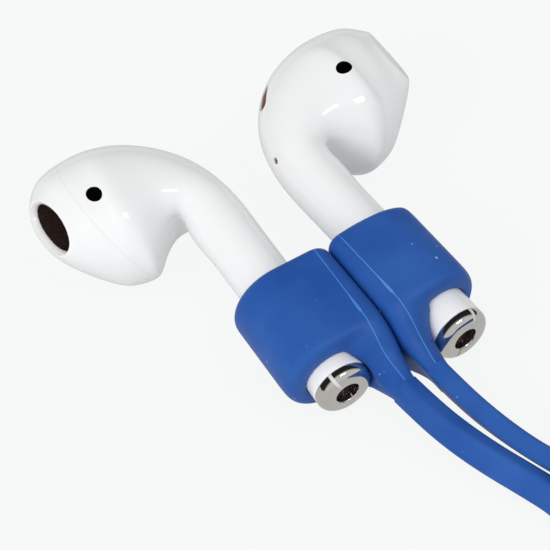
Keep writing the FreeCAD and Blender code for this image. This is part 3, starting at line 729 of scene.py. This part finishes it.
def oval_row(half_height, half_width, depth=0.0):
    """A row in the nozzle's plane, or so far below it."""
    values = np.array(NOZZLE)
    out, across, along = section_axes(values)
    return (values[:3] - along * depth + np.outer(half_height * np.cos(THETA), out)
            + np.outer(half_width * np.sin(THETA), across))


def front_cover_rows(seam):
    rows = seam_rows(seam, 1)[::-1]
    places = front_places(seam)
    rows += [skin(u, THETA) for u in places]
    start, corner = rows[-1], skin(np.full(AROUND, NOZZLE_PLACE), THETA)
    end = oval_row(NOZZLE[5] - NOSE_FLAT[0], NOZZLE[6] - NOSE_FLAT[1])
    for t in np.linspace(0, 1, 9)[1:]:
        rows.append((1 - t) ** 2 * start + 2 * t * (1 - t) * corner + t * t * end)
    rows += [oval_row(POCKET[0] + grow, POCKET[1] + grow, depth)
             for grow, depth in edge_arc(POCKET_LIP, (0, 45, 90))]
    rows.append(oval_row(RING_OPENING[0] + RING_SEAT, RING_OPENING[1] + RING_SEAT, POCKET_DEPTH))
    # the inner wall starts behind the pocket
    rows += [offset_row(u, WALL) for u in places[::-1][9:]]
    rows.append(offset_row(seam, WALL))
    return rows


def oval_prism(half_x, half_y, low, high, straight=0.0, count=64):
    """A prism with an oval or a round-ended slot for its outline, in its own axes."""
    angles = np.arange(count) * 2 * math.pi / count
    ring = np.stack([half_x * np.cos(angles), half_y * np.sin(angles)], -1)
    if straight:
        ring = half_y * np.stack([np.cos(angles), np.sin(angles)], -1)
        ring[:, 0] += np.sign(np.round(np.cos(angles), 9)) * straight
    points = np.vstack([np.c_[ring, np.full(count, z)] for z in (low, high)])
    return points, tube_faces(2, count)


def cut(obj, cutters, operation="DIFFERENCE"):
    """The object less the cutters, or together with them, as a plain mesh."""
    for cutter in cutters:
        modifier = obj.modifiers.new("cut", "BOOLEAN")
        modifier.operation, modifier.solver, modifier.object = operation, "MANIFOLD", cutter
    applied(obj)
    for cutter in cutters:
        bpy.data.objects.remove(cutter)
    return obj


def applied(obj):
    """Turns the modifiers' result into the object's own mesh."""
    shown = obj.evaluated_get(bpy.context.evaluated_depsgraph_get())
    mesh = bpy.data.meshes.new_from_object(shown)
    obj.modifiers.clear()
    obj.data = mesh


def outwards(obj):
    """Makes the faces of a closed mesh point outwards."""
    mesh = bmesh.new()
    mesh.from_mesh(obj.data)
    bmesh.ops.remove_doubles(mesh, verts=mesh.verts, dist=1e-8)
    bmesh.ops.recalc_face_normals(mesh, faces=mesh.faces)
    mesh.to_mesh(obj.data)
    mesh.free()
    return obj


def whole_skin():
    """The outer surface in the bud's axes, for finding heights on it."""
    places = [np.full(AROUND, u) for u in np.linspace(0, NOZZLE_PLACE, 161)]
    points = np.vstack([skin(u, THETA) for u in places])
    return BVHTree.FromPolygons([Vector(p) for p in points], tube_faces(len(places), AROUND))


SKIN = whole_skin()


def on_skin(points, matrix):
    """Drops points of a patch along its axis onto the bud's surface, keeping their own heights."""
    down = Vector(-matrix[:3, 2])
    landed = []
    for point in points:
        above = carried([(point[0], point[1], 3.0)], matrix)[0]
        hit = SKIN.ray_cast(Vector(above), down)[0]
        landed.append(np.array(hit if hit else above) + matrix[:3, 2] * point[2])
    return np.array(landed)


def lens(half_x, half_y, edge=0.05, depth=0.5, around=48, rings=8):
    """A flat-bottomed disc with a rounded rim; its top follows the skin once dropped onto it."""
    points = [(0.0, 0.0, 0.0)]
    angles = np.arange(around) * 2 * math.pi / around
    rows = [(share, 0.0) for share in np.linspace(0, 1, rings + 1)[1:-1]]
    rows += [(1 - inset / half_x, -drop) for inset, drop in edge_arc(edge, QUARTER)]
    rows.append((1.0, -depth))
    for share, z in rows:
        points += [(half_x * share * math.cos(a), half_y * share * math.sin(a), z) for a in angles]
    faces = [(0, 1 + j, 1 + (j + 1) % around) for j in range(around)]
    faces += [tuple(1 + k for k in reversed(face)) for face in torus_faces(len(rows), around)[:-around]]
    last = 1 + (len(rows) - 1) * around
    faces.append(tuple(last + j for j in reversed(range(around))))
    return points, faces


# Woven screens

def screen_tree():
    """Wires woven over and under each other, cut to an oval or a slot with round ends."""
    tree = bpy.data.node_groups.new("woven_screen", "GeometryNodeTree")
    tree.interface.new_socket("Geometry", in_out="OUTPUT", socket_type="NodeSocketGeometry")
    for name in ("Half Length", "Half Width", "Straight", "Pitch", "Wire"):
        tree.interface.new_socket(name, in_out="INPUT", socket_type="NodeSocketFloat")
    tree.interface.new_socket("Material", in_out="INPUT", socket_type="NodeSocketMaterial")

    def node(kind, settings=None, inputs=None):
        return add_node(tree, kind, settings, inputs)

    def maths(operation, first, second=0.0):
        return node("ShaderNodeMath", {"operation": operation}, {0: first, 1: second}).outputs[0]

    length, width, straight, pitch, wire, material = list(node("NodeGroupInput").outputs)[:6]
    woven = node("GeometryNodeJoinGeometry")
    for crosswise, run, spread, sign in ((False, length, width, 1.0), (True, width, length, -1.0)):
        count = maths("FLOOR", maths("DIVIDE", spread, pitch))
        first = maths("MULTIPLY", maths("MULTIPLY", count, pitch), -1.0)
        ends = [node("ShaderNodeCombineXYZ", None, {"Y" if crosswise else "X": value}).outputs[0]
                for value in (maths("MULTIPLY", run, -1.0), run)]
        line = node("GeometryNodeCurvePrimitiveLine", None, {"Start": ends[0], "End": ends[1]})
        step = maths("DIVIDE", pitch, 4.0)
        fine = node("GeometryNodeResampleCurve", {"mode": "LENGTH"}, {
            "Curve": line.outputs[0], "Length": step})
        axis = "X" if crosswise else "Y"
        start = node("ShaderNodeCombineXYZ", None, {axis: first}).outputs[0]
        offset = node("ShaderNodeCombineXYZ", None, {axis: pitch}).outputs[0]
        number = maths("ADD", maths("MULTIPLY", count, 2.0), 1.0)
        rows = node("GeometryNodeMeshLine", None, {
            "Count": number, "Start Location": start, "Offset": offset})
        copies = node("GeometryNodeInstanceOnPoints", None, {
            "Points": rows.outputs[0], "Instance": fine.outputs[0]})
        real = node("GeometryNodeRealizeInstances", None, {"Geometry": copies.outputs[0]})
        place = node("ShaderNodeSeparateXYZ", None, {0: node("GeometryNodeInputPosition").outputs[0]})
        beyond = maths("MAXIMUM", maths("SUBTRACT", maths("ABSOLUTE", place.outputs["X"]), straight), 0.0)
        x_share = maths("DIVIDE", beyond, maths("SUBTRACT", length, straight))
        y_share = maths("DIVIDE", place.outputs["Y"], width)
        reach = maths("ADD", maths("MULTIPLY", x_share, x_share), maths("MULTIPLY", y_share, y_share))
        inside = node("GeometryNodeDeleteGeometry", {"domain": "POINT"}, {
            "Geometry": real.outputs[0], "Selection": maths("GREATER_THAN", reach, 1.0)})
        waves = [maths("COSINE", maths("MULTIPLY", maths("DIVIDE", place.outputs[k], pitch), math.pi))
                 for k in ("X", "Y")]
        lift = maths("MULTIPLY", maths("MULTIPLY", waves[0], waves[1]), maths("MULTIPLY", wire, sign))
        upwards = node("ShaderNodeCombineXYZ", None, {"Z": lift}).outputs[0]
        raised = node("GeometryNodeSetPosition", None, {"Geometry": inside.outputs[0], "Offset": upwards})
        round_wire = node("GeometryNodeCurvePrimitiveCircle", None, {"Resolution": 6, "Radius": wire})
        swept = node("GeometryNodeCurveToMesh", None, {
            "Curve": raised.outputs[0], "Profile Curve": round_wire.outputs[0], "Fill Caps": True})
        tree.links.new(swept.outputs[0], woven.inputs[0])
    together = node("GeometryNodeRealizeInstances", None, {"Geometry": woven.outputs[0]})
    painted = node("GeometryNodeSetMaterial", None, {"Geometry": together.outputs[0], "Material": material})
    node("NodeGroupOutput", None, {0: painted.outputs[0]})
    return tree


SCREEN = screen_tree()


def screen_points(half_length, half_width, straight, pitch, wire):
    """Points and faces of a woven screen in its own axes, in millimetres."""
    holder = bpy.data.objects.new("screen", bpy.data.meshes.new("screen"))
    bpy.context.scene.collection.objects.link(holder)
    modifier = holder.modifiers.new("weave", "NODES")
    modifier.node_group = SCREEN
    values = {"Half Length": half_length, "Half Width": half_width, "Straight": straight,
              "Pitch": pitch, "Wire": wire, "Material": WOVEN}
    for socket in SCREEN.interface.items_tree:
        if socket.in_out == "INPUT":
            modifier[socket.identifier] = values[socket.name]
    applied(holder)
    return taken(holder)


def joined(*parts):
    """Several lists of points and faces as one."""
    points, faces, start = [], [], 0
    for some, those in parts:
        points.append(np.asarray(some, float))
        faces += [tuple(start + k for k in face) for face in those]
        start += len(some)
    return np.vstack(points), faces


def backed_screen(half_x, half_y, pitch, wire, cloth, straight=0.0, spare=0.0):
    """A woven screen over a cloth between two heights, and how many of its faces are wire."""
    wires = screen_points(half_x, half_y, straight, pitch, wire)
    backing = oval_prism(half_x + spare, half_y + spare, *cloth, straight)
    points, faces = joined(wires, backing)
    return points, faces, len(wires[1])


def screen_look(obj, wires, cloth):
    """The wires keep their look; the cloth behind them has its own."""
    obj.data.materials.append(cloth)
    for face in obj.data.polygons[wires:]:
        face.material_index = 1


def rear_and_front(seam, sensor):
    """Both shells in the bud's axes, with the holes for the sensor and the two vents."""
    rear_rows, front_rows = rear_shell_rows(seam), front_cover_rows(seam)
    rear = bench("rear", np.vstack(rear_rows), torus_faces(len(rear_rows), AROUND))
    front = bench("front", np.vstack(front_rows), torus_faces(len(front_rows), AROUND))
    holes = [(sensor[:4], 0.0, sensor[4]), *((*vent, (0, 1, 0)) for vent in VENTS.values())]
    cutters = []
    for (at, normal, half_x, half_y), straight, across in holes:
        points, faces = oval_prism(half_x + HOLE_SPACE, half_y + HOLE_SPACE, -1.5, 2.0, straight)
        cutters.append(bench("cutter", carried(points, frame_matrix(at, normal, across)), faces))
    return taken(cut(rear, cutters)), taken(front)


def bud_piece(side, name, form, slot, look, node, closed=False, sharp=None):
    """A piece in the bud's axes that rides on the bud and stands for one of its CAD nodes."""
    obj = piece(side + "_" + name, *form, BUD[side])
    if closed:
        outwards(obj)
    if sharp:
        smooth(obj, sharp)
    finished(obj, side + "_bud", slot, look, side + "_" + node)
    return obj


def shell_pieces(side):
    rear, front = rear_and_front(seam_places(SEAM_X[side]), SENSORS[side])
    bud_piece(side, "rear", rear, "white_plastic", WHITE, "rear_shell")
    bud_piece(side, "front", front, "white_plastic", WHITE, "front_cover")
    at, normal, half_x, half_y, across = SENSORS[side]
    points, faces = lens(half_x - HOLE_SPACE, half_y - HOLE_SPACE)
    window = on_skin(points, frame_matrix(at, normal, across)), faces
    bud_piece(side, "window", window, "black_window", WINDOW, "sensor_window", closed=True)


def vent_pieces(side):
    for node, ((at, normal, half_x, half_y), straight) in VENTS.items():
        points, faces, wires = backed_screen(half_x, half_y, *VENT_WEAVE, (-0.15, -0.06), straight)
        sunk = on_skin(points - (0, 0, VENT_DEPTH), frame_matrix(at, normal))
        mesh = bud_piece(side, node + "_weave", (sunk, faces), "brown_mesh", BROWN, node + "_mesh")
        screen_look(mesh, wires, UMBER)


def nozzle_pieces(side):
    """The domed screen in the nozzle's mouth, and the ring that holds it."""
    values = np.array(NOZZLE)
    out, across, along = section_axes(values)
    spot = frame_matrix(values[:3], along, across)
    half_x, half_y = RING_OPENING
    points, faces, wires = backed_screen(half_x + 0.1, half_y + 0.1, *NOZZLE_WEAVE, (-0.2, -0.1))
    dome = DOME_RISE * (1 - (points[:, 0] / DOME_HALVES[0]) ** 2 - (points[:, 1] / DOME_HALVES[1]) ** 2)
    points = points + np.c_[0 * dome, 0 * dome, dome - RING_DEPTH - 0.2]
    weave = carried(points, spot), faces
    mesh = bud_piece(side, "nozzle_weave", weave, "brown_mesh", WOVEN, "nozzle_mesh")
    screen_look(mesh, wires, CLOTH)

    # the ring's section: which oval, how much wider, how high
    profile = ((RING_OPENING, 0.09, -RING_DEPTH - 0.1), (POCKET, -0.02, -0.1), (POCKET, -0.06, -0.07),
               (POCKET, -0.1, -0.1), (RING_OPENING, 0.03, -RING_DEPTH + 0.12),
               (RING_OPENING, 0, -RING_DEPTH), (RING_OPENING, 0, -RING_DEPTH - 0.1))
    rows = [oval_loop(oval[0] + wider, oval[1] + wider, z) for oval, wider, z in profile]
    ring = carried(np.vstack(rows), spot), torus_faces(len(rows), AROUND)
    bud_piece(side, "nozzle_rim", ring, "white_trim", TRIM, "nozzle_ring", closed=True)


for side in SIDES:
    shell_pieces(side)
    vent_pieces(side)
    nozzle_pieces(side)


# Stem tail

def contact_profile(shrink=0.0):
    """Radius and height of the contact ring's section, all the way round it."""
    profile = [(CARRIER_RADIUS, -TAIL_JOINT)]
    profile += [(STEM_RADIUS - a, -TAIL_JOINT - b) for a, b in edge_arc(CONTACT_TOP_EDGE, QUARTER)]
    profile += [(STEM_RADIUS - b, a - CONTACT_LENGTH) for a, b in edge_arc(CONTACT_EDGE, range(0, 91, 6))]
    profile += [(CONTACT_HOLE + a, b - CONTACT_LENGTH) for a, b in edge_arc(CONTACT_HOLE_EDGE, QUARTER)]
    top = -CONTACT_LENGTH + TAIL_MESH_INSET
    profile += [(CONTACT_HOLE, top), (CARRIER_RADIUS, top)]
    middle = np.array([(STEM_RADIUS + CONTACT_HOLE) / 2, -CONTACT_LENGTH / 2])
    profile = np.array(profile)
    away = profile - middle
    return profile - away / np.linalg.norm(away, axis=1)[:, None] * shrink


def half_ring(sense):
    """One half of the split contact ring; the split is all but closed on the inner side."""
    profile, steps = contact_profile(), 48
    base = math.pi / 2 - CONTACT_SPLIT
    points = []
    for i in range(steps + 1):
        for radius, z in profile:
            wide, fine = (math.asin(gap / 2 / radius) for gap in (CONTACT_GAP, CLOSED_GAP))
            first, last = base - wide, base - math.pi + fine
            if sense < 0:
                first, last = base + wide, base + math.pi - fine
            angle = first + (last - first) * i / steps
            points.append((radius * math.cos(angle), radius * math.sin(angle), z))
    return points, tube_faces(steps + 1, len(profile))


def rib():
    """The insulating strip that shows in the split."""
    profile = contact_profile(0.015)
    half = CONTACT_GAP / 2 - 0.01
    points = []
    for across in (-half, half):
        for radius, z in profile:
            points.append((across, math.sqrt(radius ** 2 - across ** 2), z))
    points = np.array(points)
    points[:, :2] = turned(points[:, :2], CONTACT_SPLIT)
    return points, tube_faces(2, len(profile))


def revolved(profile, steps=64):
    rows = []
    for i in range(steps):
        a = 2 * math.pi * i / steps
        rows += [(radius * math.cos(a), radius * math.sin(a), z) for radius, z in profile]
    return rows, torus_faces(steps, len(profile))


def tail_pieces(side):
    for sense, node in ((1, "outer"), (-1, "inner")):
        bud_piece(side, node + "_half_contact", half_ring(sense), "contact_chrome", CHROME,
                  node + "_contact", closed=True, sharp=50)
    top = -CONTACT_LENGTH + TAIL_MESH_INSET
    outer, low = CARRIER_RADIUS - 0.02, top + 0.22
    barrel = [(outer, low), (outer, CARRIER_TOP), (CARRIER_BORE, CARRIER_TOP), (CARRIER_BORE, low)]
    bud_piece(side, "tail_insulator", joined(revolved(barrel), rib()), "carrier_plastic", INSULATOR,
              "tail_carrier", closed=True, sharp=50)
    radius = CONTACT_HOLE + 0.25
    points, faces, wires = backed_screen(radius, radius, *TAIL_WEAVE, (0.06, 0.18), spare=0.03)
    weave = points + (0, 0, top + 0.05), faces
    mesh = bud_piece(side, "tail_weave", weave, "dark_mesh", WOVEN, "tail_mesh")
    screen_look(mesh, wires, CLOTH)


for side in SIDES:
    tail_pieces(side)


# Sleeves

def mating_n(z):
    """Where the flat between the two sleeves lies, seen from the stem's axis."""
    return (SLEEVE_SPACING / 2 - z * math.sin(SPLAY)) / math.cos(SPLAY) - SLEEVE_GAP / 2


# Sections of the barrel and the tail: z, the outer side's N, how far in the inner side lies from
# the mating flat, half height, corner, rise, and lean in degrees
BARREL_END = 1.4
BARREL_MARKS = np.array([(1.0, -5.15, 0.0, 5.05, 1.5, 0.15, 0), (14.0, -5.15, 0.0, 5.05, 1.5, 0.15, 0)])
TAIL_MARKS = np.array([
    (-6.2, 3.52, 1.34, 1.36, 0.55, 0.45, 18),
    (-5.2, 3.41, 1.22, 1.55, 0.55, 0.45, 18),
    (-4.0, 3.3, 1.1, 1.75, 0.65, 0.35, 17),
    (-2.6, 3.05, 0.85, 2.25, 0.85, 0.2, 13),
    (-1.2, 2.7, 0.5, 2.95, 1.1, 0.08, 9),
    (0.0, 1.9, 0.08, 3.8, 1.35, 0.05, 2),
    (0.8, 1.0, 0.0, 4.35, 1.45, 0.1, 0),
    (1.8, 0.2, 0.0, 4.8, 1.5, 0.12, 0),
    (3.2, -0.6, 0.0, 5.05, 1.5, 0.15, 0),
    (5.0, -1.0, 0.0, 5.05, 1.5, 0.15, 0),
])
TAIL_BEND = 0.26            # how far the pull of the strap bends the tail inwards
RIGHT_SLIMMER, RIGHT_BACK = 0.4, 0.45
VOXEL = 0.14
SMOOTHINGS, SHOULDER_SMOOTHINGS = 8, 50


def smooth_marks(marks, z):
    """The sleeve's measures at a height, on a curve that doesn't overshoot its marks."""
    heights, values = marks[:, 0], marks[:, 1:]
    slopes = np.diff(values, axis=0) / np.diff(heights)[:, None]
    tangents = np.zeros_like(values)
    tangents[0], tangents[-1] = slopes[0], slopes[-1]
    same = slopes[:-1] * slopes[1:] > 0
    total = np.where(same, slopes[:-1] + slopes[1:], 1)
    tangents[1:-1] = np.where(same, 2 * slopes[:-1] * slopes[1:] / total, 0)
    i = int(np.clip(np.searchsorted(heights, z) - 1, 0, len(heights) - 2))
    gap = heights[i + 1] - heights[i]
    t = (z - heights[i]) / gap
    return ((1 + 2 * t) * (1 - t) ** 2 * values[i] + t * (1 - t) ** 2 * gap * tangents[i]
            + t * t * (3 - 2 * t) * values[i + 1] + t * t * (t - 1) * gap * tangents[i + 1])


def sleeve_ring(marks, z, inset=0.0):
    """Points round the sleeve at a height: round outside, flat with two corners inside."""
    outer, gap, half, corner, rise, lean = smooth_marks(marks, z)
    outer, inner, half, corner = outer + inset, mating_n(z) - gap - inset, half - inset, corner - inset / 2
    middle = min(outer + half, inner - corner)
    points = []
    steps = 32
    for i in range(steps + 1):
        a = math.pi / 2 + math.pi * i / steps
        points.append((middle + (middle - outer) * math.cos(a), half * math.sin(a)))
    for centre_u, first in ((corner - half, -math.pi / 2), (half - corner, 0)):
        for i in range(13):
            a = first + math.pi / 2 * i / 12
            points.append((inner - corner + corner * math.cos(a), centre_u + corner * math.sin(a)))
    points = np.array(points)
    centre = np.array([(outer + inner) / 2, 0.0])
    points = turned(points - centre, math.radians(lean)) + centre + (0, rise)
    return np.c_[points, np.full(len(points), z)]


def sleeve_form():
    """The sleeve in its own axes, its edges softened as moulded silicone is."""
    start, stop = TAIL_MARKS[0, 0], TAIL_MARKS[-1, 0]
    tail = [sleeve_ring(TAIL_MARKS, z) for z in np.arange(start, stop + 0.01, 0.2)]
    tail[0] = sleeve_ring(TAIL_MARKS, start, 0.12)
    barrel = [sleeve_ring(BARREL_MARKS, BARREL_END + rise, inset)
              for rise, inset in edge_arc(TAIL_ROUND, range(90, -1, -10))]
    barrel += [sleeve_ring(BARREL_MARKS, SLEEVE_HEAD_END - drop, inset)
               for drop, inset in edge_arc(RIM_ROUND, range(0, 91, 10))]
    body = bench("sleeve", np.vstack(barrel), tube_faces(len(barrel), len(barrel[0])))
    cut(body, [bench("tail", np.vstack(tail), tube_faces(len(tail), len(tail[0])))], "UNION")
    cut(body, [bench("bore", *oval_prism(SLEEVE_BORE, SLEEVE_BORE, -8.0, SLEEVE_HEAD_END + 2, count=128))])
    modifier = body.modifiers.new("even", "REMESH")
    modifier.mode, modifier.voxel_size = "VOXEL", VOXEL
    applied(body)
    mesh = bmesh.new()
    mesh.from_mesh(body.data)
    shoulder = [vert for vert in mesh.verts
                if -1.5 < vert.co.z < 3.6 and math.hypot(*vert.co.xy) > SLEEVE_BORE + 0.25]
    for verts, times in ((mesh.verts, SMOOTHINGS), (shoulder, SHOULDER_SMOOTHINGS)):
        for _ in range(times):
            bmesh.ops.smooth_vert(mesh, verts=verts, factor=0.5,
                                  use_axis_x=True, use_axis_y=True, use_axis_z=True)
    mesh.to_mesh(body.data)
    mesh.free()
    points, faces = taken(body)
    reach = np.hypot(points[:, 0], points[:, 1])
    low = reach < SLEEVE_BORE
    points[low, :2] *= (SLEEVE_BORE / np.maximum(reach[low], 0.1))[:, None]
    return points, faces


def ridge_form(points, faces):
    """The fine moulding ridge along the sleeve's top, painted paler as a highlight, and thicker where that
    painted highlight widens.
    """
    surface = BVHTree.FromPolygons([Vector(p) for p in points], faces)
    path, sizes = [], []
    for z in np.arange(SLEEVE_HEAD_END - 0.4, STRAP_START + 0.2, -0.15):
        n = 4.5 + 0.3 * ease((0.5 - z) / 5)
        hit, normal = surface.ray_cast(Vector((n, 9, z)), Vector((0, -1, 0)))[:2]
        if hit is None:
            continue
        path.append(np.array(hit))
        # the ridge grows thicker here so that its painted highlight looks wider
        wide_highlight = ease((z - 3.1) / 0.5) * (1 - ease((z - 4.0) / 2.2))
        sizes.append(0.05 + 0.085 * wide_highlight)
    path = np.array(path)
    for _ in range(4):
        path[1:-1] = (path[:-2] + 2 * path[1:-1] + path[2:]) / 4
    along = np.gradient(path, axis=0)
    along /= np.linalg.norm(along, axis=1)[:, None]
    rows, around = [], 8
    for at, t, size in zip(path, along, sizes):
        across = unit(np.cross(t, (0, 1, 0)))
        up = np.cross(across, t)
        rows += [at + size * (math.cos(a) * across * 1.3 + math.sin(a) * up * 0.7)
                 for a in np.arange(around) * 2 * math.pi / around]
    return rows, tube_faces(len(path), around)


SLEEVE_FORM = sleeve_form()
RIDGE_FORM = ridge_form(*SLEEVE_FORM)


def bent(points, side):
    """The sleeve's points with the tail bent, and the right one a little slimmer and pushed back."""
    points = np.array(points, float)
    n, z = points[:, 0].copy(), points[:, 2].copy()
    points[:, 0] += TAIL_BEND * (np.clip(0.5 - z, 0, None) / 5.7) ** 2
    if side == "right":
        points[:, 0] += RIGHT_SLIMMER * ease((-n - 3.1) / 1.6)
        points[:, 2] -= RIGHT_BACK * ease((z - 6) / 6) * ease((3 - n) / 6)
    return points


for side, body in (("left", "root"), ("right", "right_sleeve")):
    soft = piece(side + "_sleeve_soft", bent(SLEEVE_FORM[0], side), SLEEVE_FORM[1], SLEEVE[side], sharp=70)
    finished(soft, body, "blue_silicone", BLUE, side + "_sleeve")
    ridge = piece(side + "_sleeve_ridge", bent(RIDGE_FORM[0], side), RIDGE_FORM[1], SLEEVE[side])
    # the ridge wears the paler blue of a painted highlight
    finished(outwards(ridge), body, "blue_silicone", RIDGE_HIGHLIGHT)


# Floor, light and background

BACKGROUND = (0.940, 0.956, 0.948, 1)
AMBIENT = 0.67
# The sky's far side: from where to where it darkens, and its level
FAR_SIDE, FAR_LEVEL = (-0.4, -0.1), 0.02
FLOOR_REACH = 4000
FLOOR_SEEN, FLOOR_REFLECTED = 0.94, 0.62


def pale_floor():
    """The eye sees the background's tone and the object's shadow; reflections see it darker."""
    corners = [(-FLOOR_REACH, -FLOOR_REACH), (FLOOR_REACH, -FLOOR_REACH),
               (FLOOR_REACH, FLOOR_REACH), (-FLOOR_REACH, FLOOR_REACH)]
    floor = piece("floor", [(x, y, -0.02) for x, y in corners], [(0, 1, 2, 3)])
    look = Look("pale_floor")
    rays = add_node(look.tree, "ShaderNodeLightPath").outputs
    camera_ray, passing_ray, glossy_ray = (
        Value(look, rays[name]) for name in ("Is Camera Ray", "Is Transmission Ray", "Is Glossy Ray"))
    glow = look.node("ShaderNodeEmission", None, {"Color": BACKGROUND, "Strength": 1.0})
    dim = look.node("ShaderNodeEmission", None, {"Color": BACKGROUND, "Strength": FLOOR_REFLECTED})
    paper = look.node("ShaderNodeBsdfDiffuse", None, {"Color": (0.82, 0.83, 0.83, 1)})
    seen = (camera_ray + passing_ray) * FLOOR_SEEN
    mixed = look.node("ShaderNodeMixShader", None, {0: seen, 1: paper, 2: glow})
    mixed = look.node("ShaderNodeMixShader", None, {0: glossy_ray, 1: mixed, 2: dim})
    output = look.tree.nodes["Material Output"]
    look.tree.links.new(mixed.socket, output.inputs["Surface"])
    floor.data.materials.append(look.material)


def studio():
    """An even pale sky with a far side that only reflections see, and see dark."""
    world = bpy.data.worlds.new("studio")
    bpy.context.scene.world = world
    world.use_nodes = True
    tree = world.node_tree

    def node(kind, settings=None, inputs=None):
        return add_node(tree, kind, settings, inputs).outputs

    rays = node("ShaderNodeLightPath")
    way = node("ShaderNodeSeparateXYZ", None, {0: node("ShaderNodeTexCoord")["Generated"]})
    far = node("ShaderNodeMapRange", None, {
        "Value": way["Y"], "From Min": FAR_SIDE[0], "From Max": FAR_SIDE[1]})
    dark = node("ShaderNodeMath", {"operation": "MULTIPLY"}, {0: far[0], 1: rays["Is Glossy Ray"]})
    level = node("ShaderNodeMapRange", None, {"Value": dark[0], "To Min": AMBIENT, "To Max": FAR_LEVEL})
    sky = node("ShaderNodeBackground", None, {"Color": (1, 1, 1, 1), "Strength": level[0]})
    backdrop = node("ShaderNodeBackground", None, {"Color": BACKGROUND})
    straight = node("ShaderNodeMath", {"operation": "ADD", "use_clamp": True}, {
        0: rays["Is Camera Ray"], 1: rays["Is Transmission Ray"]})
    mixed = node("ShaderNodeMixShader", None, {0: straight[0], 1: sky[0], 2: backdrop[0]})
    tree.links.new(mixed[0], tree.nodes["World Output"].inputs["Surface"])


def softbox(name, at, aim, size, power):
    light = bpy.data.lights.new(name, "AREA")
    light.shape, light.size, light.size_y, light.energy = "RECTANGLE", size[0], size[1], power
    holder = bpy.data.objects.new(name, light)
    bpy.context.scene.collection.objects.link(holder)
    back = unit(np.array(at) - np.array(aim))
    holder.matrix_world = Matrix(frame_matrix(at, back, (0, 1, 0.2)).tolist())
    return holder


pale_floor()
studio()
softbox("key", (-0.50, -0.12, 0.38), (0, 0, 0), (0.30, 0.30), 1.5).visible_glossy = False
softbox("sparkle", (0.06, -0.338, 0.498), (-0.008, 0.01, 0.012), (0.22, 0.06), 0.6)

bpy.context.scene.view_settings.view_transform = "Standard"
